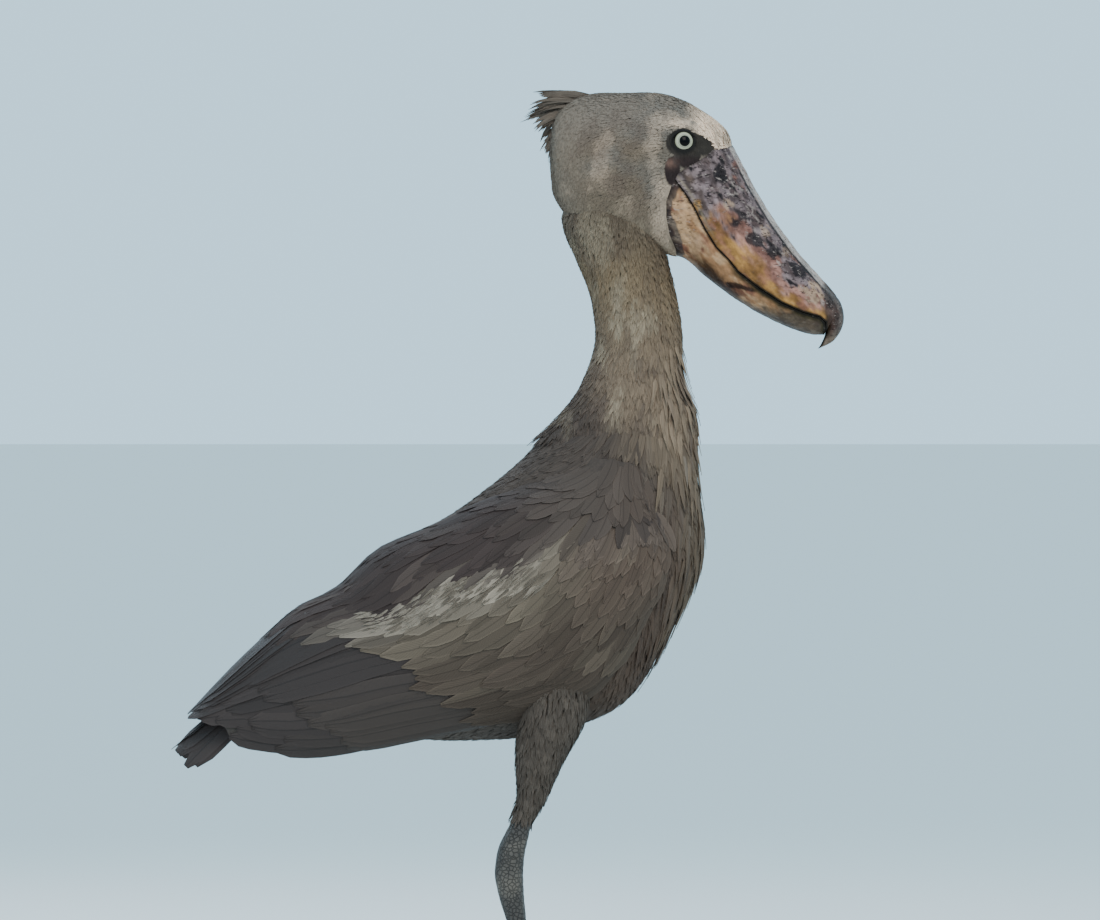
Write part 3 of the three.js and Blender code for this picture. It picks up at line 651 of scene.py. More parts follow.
@dataclass(frozen=True)
class VaneKind:
    """How one kind of feather is built: millimetres, except where a share is named."""

    outline: Outline
    rows: int = 5
    cols: int = 3
    thick: float = 0.6
    camber: float = 0.25
    root: float = -1.5
    tip: float = 2.5
    bend: float = 1.0
    ragged: float = 0.1
    tilt: float = 0.0
    edge: float = 0.0
    full: float = 1.0


def walk(
    surface: Surface, a: Array, b: Array, lie: OfTwo,
    length: Array, rows: int,
) -> tuple[Array, Array]:
    """Walks the middle line of each feather over a surface in equal steps.

    Each step follows the lie, flattened onto the surface. The change of a and b that gives this step is
    the least-squares answer from the two tangents. A line that runs off the surface goes on straight.

    Args:
        surface: The surface.
        a: First number of each root.
        b: Second number of each root.
        lie: Gives the wanted direction from the points and the surface's own a direction.
        length: Length of each feather.
        rows: Points on each line.

    Returns:
        The points and the outward directions, as feather, row, xyz.
    """
    low, high = surface.span_a
    step = (length / (rows - 1))[:, None]
    p, n = surface.point(a, b), surface.normal(a, b)
    off = np.zeros(len(a), bool)
    heading = np.zeros_like(p)
    points, normals = [p], [n]
    for _ in range(rows - 1):
        along, round_ = surface.tangents(a, b)
        d = lie(p, unit(along))
        d = unit(d - n * np.sum(d * n, axis=-1, keepdims=True))
        aa, bb, ab = (np.sum(x * y, axis=-1) for x, y in ((along, along), (round_, round_), (along, round_)))
        da, db = np.sum(along * d, axis=-1), np.sum(round_ * d, axis=-1)
        det = np.maximum(aa * bb - ab * ab, 1e-6)
        na = a + (da * bb - db * ab) / det * step[:, 0]
        nb = b + (db * aa - da * ab) / det * step[:, 0]
        heading = np.where(off[:, None], heading, d)
        off = off | (na < low) | (na > high)
        a, b = np.where(off, a, na), np.where(off, b, nb)
        there = surface.point(a, b)
        n = np.where(off[:, None], n, surface.normal(a, b))
        p = np.where(off[:, None], p + heading * step, there)
        points.append(p)
        normals.append(n)
    return np.stack(points, axis=1), np.stack(normals, axis=1)


def vane_shell(
    line: Array, normals: Array, kind: VaneKind, half: Array, colour: Array,
    root_uv: Array, rng: Generator,
) -> Shell:
    """Builds closed vanes along middle lines.

    A vane's cross section is a lens: the top is the line plus u half widths sideways, less the camber by
    u squared, plus half the thickness by 1 less u squared, and the bottom is the same with less. The lift
    from the surface goes from root to tip by a power of the share of the length.

    Args:
        line: Middle lines as feather, row, xyz.
        normals: Outward directions of the same shape.
        kind: How the feather is built.
        half: Half width of each feather.
        colour: Colour of each feather.
        root_uv: Place of each root on the unwrap.
        rng: Draws in a fixed order.

    Returns:
        One shell of all the vanes.
    """
    count, rows = line.shape[:2]
    t = np.linspace(0, 1, rows)
    proud = 1 + 0.35 * rng.uniform(-1, 1, (count, 1))
    size = np.minimum(np.linalg.norm(line[:, -1] - line[:, 0], axis=-1) / kind.full, 1)[:, None]
    lift = (kind.root + (kind.tip * proud - kind.root) * t**kind.bend) * size
    line = line + normals * lift[..., None]
    ahead = unit(np.gradient(line, axis=1))
    across = unit(np.cross(normals, ahead))
    out = np.cross(ahead, across)
    lean = np.radians(kind.tilt + 6 * rng.uniform(-1, 1, (count, 1, 1)))
    across, out = across * np.cos(lean) + out * np.sin(lean), out * np.cos(lean) - across * np.sin(lean)
    u = np.linspace(-1, 1, kind.cols)
    worn = 1 - kind.ragged * rng.uniform(0, 1, (count, rows, 2)) * smooth(0.2, 0.8, t)[None, :, None]
    width = (half[:, None] * kind.outline.width(t))[..., None] * worn
    width = np.where(u < 0, width[..., :1], width[..., 1:])
    bow = (u**2)[None, None] * width * kind.camber
    fat = (1 - u**2)[None, None] * kind.thick / 2 * np.ones((count, rows, 1))
    base = line[:, :, None] + across[:, :, None] * (u * width)[..., None] - out[:, :, None] * bow[..., None]
    top = base + out[:, :, None] * fat[..., None]
    low = (base - out[:, :, None] * fat[..., None])[:, :, 1:-1][:, :, ::-1]
    rings = np.concatenate([top, low], axis=2)
    k = rings.shape[2]
    us = np.concatenate([u, u[1:-1][::-1]])
    index = np.arange(count * rows * k).reshape(count, rows, k)
    nxt = np.roll(index, -1, axis=2)
    quads = [np.stack([index[:, :-1], index[:, 1:], nxt[:, 1:], nxt[:, :-1]], -1).reshape(-1, 4)]
    tris = []
    for row, turn in ((0, 1), (rows - 1, -1)):
        ring = index[:, row]
        if k == 4:
            quads.append(ring[:, [0, 1, 2, 3]][:, ::turn])
        else:
            quads += [ring[:, q][:, ::turn] for q in ([1, 2, 6, 7], [2, 3, 5, 6])]
            tris += [ring[:, q][:, ::turn] for q in ([0, 1, 7], [3, 4, 5])]
    ones = np.ones((count, rows, k))
    seed = rng.uniform(0, 1, count)[:, None, None] * ones
    vane = np.stack([us * ones, t[None, :, None] * ones, seed], -1)
    tint = np.concatenate([colour[:, None, None] * ones[..., None], ones[..., None] * kind.edge], -1)
    uv = root_uv[:, None, None] + TUFT_UV * np.stack([us * ones, (2 * t - 1)[None, :, None] * ones], -1)
    return Shell(
        rings.reshape(-1, 3),
        np.concatenate(quads),
        np.concatenate(tris) if tris else np.zeros((0, 3), int),
        tint.reshape(-1, 4),
        vane.reshape(-1, 3),
        uv.reshape(-1, 2),
    )


def scatter(
    surface: Surface, span_a: Pair, span_b: Pair,
    spacing: OfOne, rng: Generator,
) -> tuple[Array, Array]:
    """Spreads roots over a surface with an even distance between neighbours.

    The surface is cut into small cells, each with an area divided by the spacing squared. Two evenly
    spread fractions, multiples of 0.7549 and 0.5698 less their whole parts, are read through the sums
    of these areas, first along a and then along b.

    Args:
        surface: The surface.
        span_a: Lowest and highest a.
        span_b: Lowest and highest b.
        spacing: Distance between neighbours at each point.
        rng: Draws in a fixed order.

    Returns:
        The numbers a and b of the roots.
    """
    rows, cols = 150, 150
    a = span_a[0] + (span_a[1] - span_a[0]) * (np.arange(rows) + 0.5)[:, None] / rows * np.ones(cols)
    b = span_b[0] + (span_b[1] - span_b[0]) * (np.arange(cols) + 0.5)[None] / cols * np.ones((rows, 1))
    along, round_ = surface.tangents(a, b)
    cell = np.linalg.norm(np.cross(along, round_), axis=-1)
    cell *= (span_a[1] - span_a[0]) / rows * (span_b[1] - span_b[0]) / cols
    weight = cell / spacing(surface.point(a, b)) ** 2
    count = int(weight.sum())
    i = np.arange(count)
    u, v = (0.5 + i * 0.7548776662) % 1, (0.5 + i * 0.5698402910) % 1
    by_row = np.cumsum(weight.sum(1)) / weight.sum()
    r = np.minimum(np.searchsorted(by_row, u), rows - 1)
    by_col = np.cumsum(weight, axis=1) / weight.sum(1, keepdims=True)
    c = np.minimum((by_col[r] < v[:, None]).sum(1), cols - 1)
    inner = rng.uniform(0, 1, (2, count))
    at = span_a[0] + (span_a[1] - span_a[0]) * (r + inner[0]) / rows
    return at, span_b[0] + (span_b[1] - span_b[0]) * (c + inner[1]) / cols


# The plumage's colours by name.
TONES = {
    "crown": "70655b", "cheek": "65584b", "nape": "6f6357", "cream": "dfc2a8", "blue": "5e5a55",
    "throat": "998974", "neck": "857159", "neck_tan": "786655", "plume": "5a4c3e", "shoulder": "554840",
    "mantle": "473d37", "slate": "372d2a", "covert": "54493e", "breast": "4f4037", "side": "433830",
    "belly": "4f4843", "thigh": "554b43", "flight": "322926", "fringe": "897e73", "dark": "2b2524",
    "frayed": "97897a",
}


def beyond_bill_base(points: Array) -> Array:
    """How far a point lies ahead of the line where the bill begins, at its own height."""
    line = np.array(BILL_BASE, float)[::-1]
    return points[..., 0] - np.interp(points[..., 2], line[:, 1], line[:, 0])


# The bare face seen from the side: x and z of each oval's middle, and its half sizes.
BARE_FACE = (
    (199, 1093.5, 18, 15), (211, 1091, 20, 12), (221, 1086, 13, 7), (204, 1076, 14, 11), (187, 1061, 8, 16),
)


def face_distance(points: Array) -> Array:
    """The distance from the bare face, where 1 is its border: the least of the ovals' own distances."""
    ovals = [np.hypot((points[..., 0] - x) / rx, (points[..., 2] - z) / rz) for x, z, rx, rz in BARE_FACE]
    return np.min(ovals, axis=0)


def collar(p: Array) -> Array:
    """How far the pale neck has given way to the dark mantle: 0 up the front, 1 down the back."""
    return smooth(-10, 75, (150 - p[..., 0]) * 0.9 + 800 - p[..., 2])


def head_colour(p: Array) -> Array:
    """The head's down: grey crown, soft grey and cream clouds on the cheeks, a cream brow and forehead."""
    x, z = p[..., 0], p[..., 2]
    colour = mix("cheek", "crown", smooth(1085, 1125, z))
    colour = mix(colour, "blue", smooth(-0.1, 0.6, cloud(p, 46, 15, 2)) * smooth(70, 110, x) * 0.6)
    colour = mix(colour, "nape", smooth(112, 66, x) * 0.7)
    soft = np.stack([x, p[..., 1], z * 0.7], -1)
    colour = mix(colour, "cream", smooth(0.1, 0.7, cloud(soft, 26, 5)) * 0.22)
    colour = mix(colour, "shoulder", smooth(0.1, 0.7, cloud(soft, 20, 11)) * 0.45)
    # Painted shade under the jaw: the lower cheek darkened to the shoulder tone along the jaw line.
    jaw_shade = bell(z - 985 - 0.25 * (x - 150), 9) * smooth(100, 130, x)
    colour = mix(colour, "shoulder", jaw_shade * 0.5)
    # Painted shade of a fold on the side of the head, behind and above the eye.
    fold = oval(z - 1112 - 0.35 * (160 - x), 5, x - 150, 26)
    colour = mix(colour, "shoulder", fold * 0.5)
    aside = smooth(14, 26, np.abs(p[..., 1]))
    brow_z = 1116 - 0.4 * np.maximum(x - 203, 0)
    brow = 0.8 * bell(z - brow_z, 6) * smooth(172, 204, x) * aside
    front = (
        1.25 * np.maximum(smooth(-34, -10, beyond_bill_base(p)), smooth(208, 236, x)) * smooth(1078, 1090, z)
    )
    behind = smooth(-18, -5, beyond_bill_base(p)) * smooth(1066, 1050, z) * 0.3
    pale = np.clip(brow + 0.8 * front + behind, 0, 1) * np.clip(0.85 + 0.7 * cloud(p, 8, 2), 0, 1)
    colour = mix(colour, neck_colour(p), smooth(1064, 1006, z + 0.25 * (x - 80)) * 0.95)
    return mix(colour, "cream", pale)


def neck_colour(p: Array) -> Array:
    """The neck: grey-brown above, warmer and more streaked below, darker down the back."""
    x, z = p[..., 0], p[..., 2]
    colour = mix("neck_tan", "neck", smooth(840, 960, z))
    colour = mix(colour, "cheek", smooth(940, 1015, z) * 0.85)
    colour = mix(colour, "nape", smooth(112, 66, x) * smooth(950, 1015, z) * 0.6)
    colour = mix(colour, "shoulder", smooth(135, 85, x) * smooth(970, 860, z) * 0.75)
    colour = mix(colour, "mantle", collar(p))
    long = np.stack([x, p[..., 1], z * 0.5], -1)
    colour = mix(colour, "throat", smooth(0.1, 0.7, cloud(long, 18, 3)) * 0.6 * (1 - 0.6 * collar(p)))
    colour = mix(
        colour, "shoulder", smooth(0.0, 0.7, cloud(long, 11, 8)) * (0.35 + 0.3 * smooth(900, 800, z))
    )
    # Painted shade under the jaw and the bill, on the front of the upper neck.
    return mix(colour, "shoulder", smooth(150, 190, x) * smooth(930, 990, z) * 0.55)


def trunk_colour(p: Array) -> Array:
    """The trunk: tan down the breast's middle, brown sides, a slate back and a paler belly."""
    x, y, z = p[..., 0], p[..., 1], p[..., 2]
    colour = mix("side", "shoulder", smooth(560, 680, z))
    front = smooth(120, 200, x) * smooth(80, 25, np.abs(y)) * smooth(500, 620, z)
    colour = mix(colour, "plume", front * 0.85)
    colour = mix(colour, "breast", smooth(60, 150, x) * (1 - front) * 0.7)
    colour = mix(colour, "mantle", smooth(110, 30, x - (z - 640) * 0.55) * smooth(520, 600, z))
    top = mix(mix("neck_tan", "plume", 0.5), "mantle", collar(p))
    colour = mix(colour, top, smooth(670, 750, z))
    colour = mix(colour, "belly", smooth(470, 425, z) * 0.75)
    streak = np.stack([x * 2.2, y * 2.2, z * 0.6], -1)
    colour = mix(colour, "dark", smooth(0.25, 0.9, cloud(streak, 16, 4)) * 0.35)
    return mix(colour, "fringe", smooth(0.3, 0.9, cloud(streak, 13, 9)) * 0.3 * front)


def skin_colour(p: Array) -> Array:
    """The skin's own colour: the coat's markings, darker, and olive-black from the eye to the gape."""
    head = mix(neck_colour(p), head_colour(p), smooth(965, 990, p[..., 2] + 0.2 * (p[..., 0] - 120)))
    body = mix(trunk_colour(p), head, smooth(770, 800, p[..., 2])) * 0.8
    bare = smooth(1.2, 1.02, face_distance(p)) * smooth(20, 32, np.abs(p[..., 1]))
    bare = bare * smooth(1036, 1046, p[..., 2])
    gape = oval(p[..., 0] - 184, 8, p[..., 2] - 1070, 5)
    face = mix("26211c", "211716", smooth(1082, 1072, p[..., 2]))
    face = mix(face, "6b5045", np.clip(gape, 0, 1) * (0.7 + 0.3 * cloud(p, 5, 16)))
    face = mix(face, "37302d", smooth(0.2, 0.7, cloud(p, 6, 17)) * smooth(1090, 1078, p[..., 2]) * 0.4)
    face = face * (1 + 0.25 * cloud(p, 4, 6))[..., None]
    return mix(body, face, bare)


@dataclass
class Patch:
    """A stretch of coat: its surface, how dense and long its feathers are, and how they lie."""

    surface: Surface
    span_a: Pair
    span_b: Pair
    kind: VaneKind
    spacing: OfOne
    length: OfOne
    half: OfOne
    lie: OfTwo
    colour: OfOne
    keep: OfThree
    vary: float = 0.18
    swell: OfOne | None = None
    sway: float = 0.12
    tones: float = 0.09

    def build(self, rng: Generator) -> Shell:
        """Scatters the roots, keeps those wanted, walks the lines and builds the vanes.

        Args:
            rng: Draws in a fixed order.

        Returns:
            The shell of the whole patch.
        """
        a, b = scatter(self.surface, self.span_a, self.span_b, self.spacing, rng)
        p = self.surface.point(a, b)
        wanted = self.keep(p, a, b)
        a, b, p = a[wanted], b[wanted], p[wanted]
        count = len(a)
        length = self.length(p) * (1 + self.vary * rng.uniform(-1, 1, count))
        sway = rng.normal(0, self.sway, (count, 3))

        def swayed(points: Array, along: Array) -> Array:
            """The lie with each feather's own small sway."""
            return unit(self.lie(points, along)) + sway

        line, normals = walk(self.surface, a, b, swayed, length, self.kind.rows)
        if self.swell is not None:
            line = line + normals * self.swell(line)[..., None]
        half = self.half(p) * (1 + self.vary * rng.uniform(-1, 1, count))
        colour = self.colour(p) * (1 + self.tones * rng.uniform(-1, 1, (count, 1)))
        return vane_shell(line, normals, self.kind, half, colour, self.surface.unwrap(a, b), rng)


def steady(value: float) -> OfOne:
    """The same size at every point."""
    return lambda p: np.full(p.shape[:-1], float(value))


def toward(x: float, y: float, z: float) -> OfTwo:
    """The same direction at every point."""
    return lambda p, along: np.array([x, y, z]) * np.ones_like(p)


def bill_relief(a: Array, b: Array) -> Array:
    """The ridge along the top of the bill and the groove beside it, read from how far b is off the top."""
    off = np.abs((b % 360) - 90)
    shape = np.interp(off, (0, 5, 9, 12.5, 16, 20, 26), (2.6, 2.5, 1.5, -0.7, -2.3, -1.5, 0.0))
    return shape * smooth(BILL_FROM, BILL_FROM + 1.2, a)


SKULL_FORM = Form(SKULL, (0.02, 0.55, 0.44, 0.42), bill_relief)
NECK_FORM = Form(NECK, (0.02, 0.33, 0.3, 0.2))
TRUNK_FORM = Form(TRUNK, (0.02, 0.02, 0.46, 0.29))
NAIL_FORM = Form(NAIL, (0.47, 0.9, 0.02, 0.08))
WINGS = {LEFT: Wing(LEFT, (0.5, 0.02, 0.22, 0.46)), RIGHT: Wing(RIGHT, (0.74, 0.02, 0.22, 0.46))}
TAIL_FAN = Fan((0.5, 0.52, 0.14, 0.2))


def thigh_limb(side: int) -> Limb:
    """The feathered thigh of one side, from inside the trunk to above the hock."""
    x, y = LEG["x"], side * LEG["apart"]
    points = [
        (x + 34, y * 0.78, 500), (x + 26, y * 0.84, 446), (x + 10, y * 0.94, 396), (x, y, 346),
        (x - 8, y, 326),
    ]
    return Limb(points, (38, 38, 29, 17, 13), (0.68 if side == LEFT else 0.84, 0.52, 0.13, 0.2))


def shank_limb(side: int) -> Limb:
    """The bare leg of one side, from inside the thigh over the hock to the foot."""
    x, y = LEG["x"], side * LEG["apart"]
    points = [
        (x + 4, y, 372), (x - 10, y, 318), (x - 26, y, LEG["hock"]), (x - 16, y, 190), (x - 6, y, 100),
        (x, y, LEG["ankle"]), (x + 2, y, 12),
    ]
    return Limb(points, (11, 10, 16, 9.5, 9, 12, 12), (0, 0, 1, 1))


def toe_point(side: int, degrees: float, length: float, z: float) -> tuple[float, float, float]:
    """A point a length out from the foot's middle at some degrees outwards from straight ahead."""
    turn = math.radians(degrees)
    return (LEG["x"] + length * math.cos(turn), side * (LEG["apart"] + length * math.sin(turn)), z)


def toe_limb(side: int, degrees: float, length: float) -> Limb:
    """One toe, level on the floor."""
    level = TOE["thick"] - TOE["press"]
    shares = ((0, 5), (0.14, 3), (0.34, 0), (0.55, 0), (0.78, -1.2), (1, -2))
    points = [toe_point(side, degrees, length * share, level + up) for share, up in shares]
    thick = TOE["thick"]
    return Limb(points, (thick + 2, thick + 1, thick, thick - 0.9, thick - 1.1, TOE["thin"]), (0, 0, 1, 1))


def claw_limb(side: int, degrees: float, toe: float, length: float) -> Limb:
    """One claw, from inside the toe's end, arched and then down to its tip."""
    gone = ((-6, 7), (length * 0.25, 7.6), (length * 0.66, 6), (length, 2.2))
    points = [toe_point(side, degrees, toe + g, z) for g, z in gone]
    return Limb(points, (4.6, 4.2, 2.8, 0.6), (0, 0, 1, 1))


def outward(shell: Shell) -> Shell:
    """Turns a closed shell's faces outwards: all are reversed where its signed volume is negative."""
    p, q, t = shell.points, shell.quads, shell.tris
    corners = np.concatenate([q[:, [0, 1, 2]], q[:, [0, 2, 3]], t])
    volume = np.sum(p[corners[:, 0]] * np.cross(p[corners[:, 1]], p[corners[:, 2]]))
    if volume < 0:
        shell.quads, shell.tris = q[:, ::-1], t[:, ::-1]
    return shell


def ring_shell(rings: Array) -> Shell:
    """Joins rings of points into a closed hoop, the last ring to the first."""
    count, sides = rings.shape[:2]
    index = np.arange(count * sides).reshape(count, sides)
    nxt, ahead = np.roll(index, -1, axis=1), np.roll(index, -1, axis=0)
    quads = np.stack([index, nxt, np.roll(ahead, -1, axis=1), ahead], -1).reshape(-1, 4)
    return Shell(rings.reshape(-1, 3), quads)


def raw_object(name: str, shell: Shell) -> Object:
    """A solid to be cut or joined, without a finish."""
    return make_object(name, outward(shell), None)


def prism(outline: Rows, half: float) -> Object:
    """A solid with an outline in x and z, pulled sideways by half to both sides.

    Args:
        outline: Corners in either turning direction.
        half: Half of its width.

    Returns:
        A mesh object whose faces point outwards.
    """
    xz = np.asarray(outline, float)
    nxt = np.roll(xz, -1, axis=0)
    if np.sum(xz[:, 0] * nxt[:, 1] - nxt[:, 0] * xz[:, 1]) < 0:
        xz = xz[::-1]
    count = len(xz)
    near = np.stack([xz[:, 0], np.full(count, -half), xz[:, 1]], -1)
    far = near * (1, -1, 1)
    walls = [(i, i + count, (i + 1) % count + count, (i + 1) % count) for i in range(count)]
    faces = [tuple(range(count)), tuple(range(2 * count - 1, count - 1, -1)), *walls]
    mesh = bpy.data.meshes.new("prism")
    mesh.from_pydata((np.concatenate([near, far]) * MM).tolist(), [], faces)
    return linked("prism", mesh)


class Step(Enum):
    """What one solid does to another: it is joined to it, or keeps only what they share."""

    JOIN = "UNION"
    KEEP = "INTERSECT"


def shaped(base: Object, steps: Sequence[tuple[Step, Object]]) -> Mesh:
    """Joins one solid to others or trims it by them, one after another.

    Args:
        base: The first solid.
        steps: What each of the others does, in order.

    Returns:
        The new mesh; all the solids used are removed.
    """
    for step, other in steps:
        modifier = base.modifiers.new(step.name, "BOOLEAN")
        modifier.operation = step.value
        modifier.solver = "MANIFOLD"
        modifier.object = other
    mesh = bpy.data.meshes.new_from_object(base.evaluated_get(bpy.context.evaluated_depsgraph_get()))
    for used in (base, *(other for _, other in steps)):
        bpy.data.objects.remove(used, do_unlink=True)
    return mesh


def coloured(name: str, mesh: Mesh, colour: OfOne, material: Material) -> Object:
    """Colours a mesh point by point and puts it into a new object at the origin.

    Args:
        name: The object's name.
        mesh: The mesh in metres.
        colour: Gives linear colours, with or without an alpha, from points in millimetres.
        material: The finish.

    Returns:
        The object, linked to the scene.
    """
    flat = np.zeros(len(mesh.vertices) * 3, np.float32)
    mesh.vertices.foreach_get("co", flat)
    tint = np.clip(colour(flat.reshape(-1, 3).astype(float) / MM), 0, 1)
    if tint.shape[1] == 3:
        tint = np.concatenate([tint, np.ones((len(tint), 1))], axis=1)
    store(mesh, "tint", tint)
    mesh.polygons.foreach_set("use_smooth", np.ones(len(mesh.polygons), bool))
    mesh.set_sharp_from_angle(angle=math.radians(SHARP["solid"]))
    mesh.materials.clear()
    mesh.materials.append(material)
    mesh.name = name
    return linked(name, mesh)


def add_node(
    tree: Tree, kind: str, inputs: dict[str | int, object] | None = None, **settings: object
) -> bpy.types.Node:
    """Adds a node, sets it and gives each named input a value or a link.

    Args:
        tree: The node tree.
        kind: The node's type.
        inputs: A value, or another node's output, for each input.
        settings: Properties of the node itself.

    Returns:
        The node.
    """
    node = tree.nodes.new(kind)
    for name, value in settings.items():
        setattr(node, name, value)
    for key, value in (inputs or {}).items():
        if isinstance(value, Socket):
            tree.links.new(value, node.inputs[key])
        else:
            node.inputs[key].default_value = value
    return node


def maths(tree: Tree, operation: str, a: object, b: object = 0.0) -> Socket:
    """One sum, product or other operation on two values."""
    return add_node(tree, "ShaderNodeMath", {0: a, 1: b}, operation=operation).outputs[0]


def times(tree: Tree, a: object, b: object) -> Socket:
    """The product of two values."""
    return maths(tree, "MULTIPLY", a, b)


def plus(tree: Tree, a: object, b: object) -> Socket:
    """The sum of two values."""
    return maths(tree, "ADD", a, b)


def scaled(tree: Tree, colour: object, by: object) -> Socket:
    """A colour times a value."""
    return add_node(tree, "ShaderNodeVectorMath", {0: colour, "Scale": by}, operation="SCALE").outputs[0]


def attribute(tree: Tree, name: str) -> bpy.types.bpy_prop_collection:
    """The outputs of a node that reads one of the mesh's attributes."""
    return add_node(tree, "ShaderNodeAttribute", attribute_name=name).outputs


def soft_mask(tree: Tree, value: object, low: float, high: float) -> Socket:
    """A soft step of a value from 0 at low to 1 at high."""
    inputs = {"Value": value, "From Min": low, "From Max": high}
    return add_node(tree, "ShaderNodeMapRange", inputs, interpolation_type="SMOOTHSTEP").outputs[0]


def blend_colours(tree: Tree, share: object, a: object, b: object) -> Socket:
    """Colours a and b blended by a share."""
    node = tree.nodes.new("ShaderNodeMix")
    node.data_type = "RGBA"
    for socket, value in ((node.inputs[0], share), (node.inputs[6], a), (node.inputs[7], b)):
        if isinstance(value, Socket):
            tree.links.new(value, socket)
        else:
            socket.default_value = value
    return node.outputs[2]


def new_group(name: str, inputs: Sequence[tuple[str, float]]) -> Tree:
    """An empty group of shader nodes with number inputs, and a colour and a height as its outputs."""
    group = bpy.data.node_groups.new(name, "ShaderNodeTree")
    for label, value in inputs:
        socket = group.interface.new_socket(label, in_out="INPUT", socket_type="NodeSocketFloat")
        socket.default_value = value
    for label, kind in (("Color", "NodeSocketColor"), ("Height", "NodeSocketFloat")):
        group.interface.new_socket(label, in_out="OUTPUT", socket_type=kind)
    return group


def vane_group() -> Tree:
    """The pattern of a vane: its tint with a paler rim, a darker shaft, fine barbs and an own brightness."""
    name = "Vane pattern"
    if name in bpy.data.node_groups:
        return bpy.data.node_groups[name]
    group = new_group(name, (("Shaft", 0.5), ("Barbs", 30.0)))
    given = group.nodes.new("NodeGroupInput")
    tint, vane = attribute(group, "tint"), attribute(group, "vane")
    u, v, seed = add_node(group, "ShaderNodeSeparateXYZ", {0: vane["Vector"]}).outputs
    u = maths(group, "ABSOLUTE", u)
    rim = plus(group, maths(group, "POWER", u, 2.5), maths(group, "POWER", v, 9.0))
    rim = times(group, soft_mask(group, rim, 0.45, 1.0), tint["Alpha"])
    barbs = times(group, maths(group, "SUBTRACT", v, times(group, u, 0.16)), given.outputs["Barbs"])
    wave = maths(group, "SINE", times(group, barbs, 6.2832))
    shaft = times(group, soft_mask(group, u, 0.11, 0.03), given.outputs["Shaft"])
    bright = plus(group, times(group, seed, 0.14), 0.93)
    bright = plus(group, bright, times(group, wave, 0.035))
    bright = times(group, bright, maths(group, "SUBTRACT", 1.0, times(group, shaft, 0.45)))
    own = scaled(group, tint["Color"], bright)
    colour = blend_colours(group, rim, own, scaled(group, own, 1.9))
    height = plus(group, times(group, wave, 0.5), times(group, shaft, 1.5))
    add_node(group, "NodeGroupOutput", {"Color": colour, "Height": height})
    return group


def grain_group() -> Tree:
    """Fine grain in the object's own space: a brighter or darker tint, and a height."""
    name = "Grain"
    if name in bpy.data.node_groups:
        return bpy.data.node_groups[name]
    group = new_group(name, (("Scale", 300.0), ("Strength", 0.2)))
    given = group.nodes.new("NodeGroupInput")
    where = add_node(group, "ShaderNodeTexCoord").outputs["Object"]
    inputs = {"Vector": where, "Scale": given.outputs["Scale"], "Detail": 5.0}
    noise = add_node(group, "ShaderNodeTexNoise", inputs).outputs["Fac"]
    value = times(group, maths(group, "SUBTRACT", noise, 0.5), given.outputs["Strength"])
    bright = plus(group, times(group, value, 2.0), 1.0)
    colour = scaled(group, attribute(group, "tint")["Color"], bright)
    add_node(group, "NodeGroupOutput", {"Color": colour, "Height": noise})
    return group


class Look(Enum):
    """The kinds of pattern a finish can have."""

    VANE = "vane"
    GRAIN = "grain"
    HORN = "horn"
    SCALES = "scales"
    EYE = "eye"
    PLAIN = "plain"


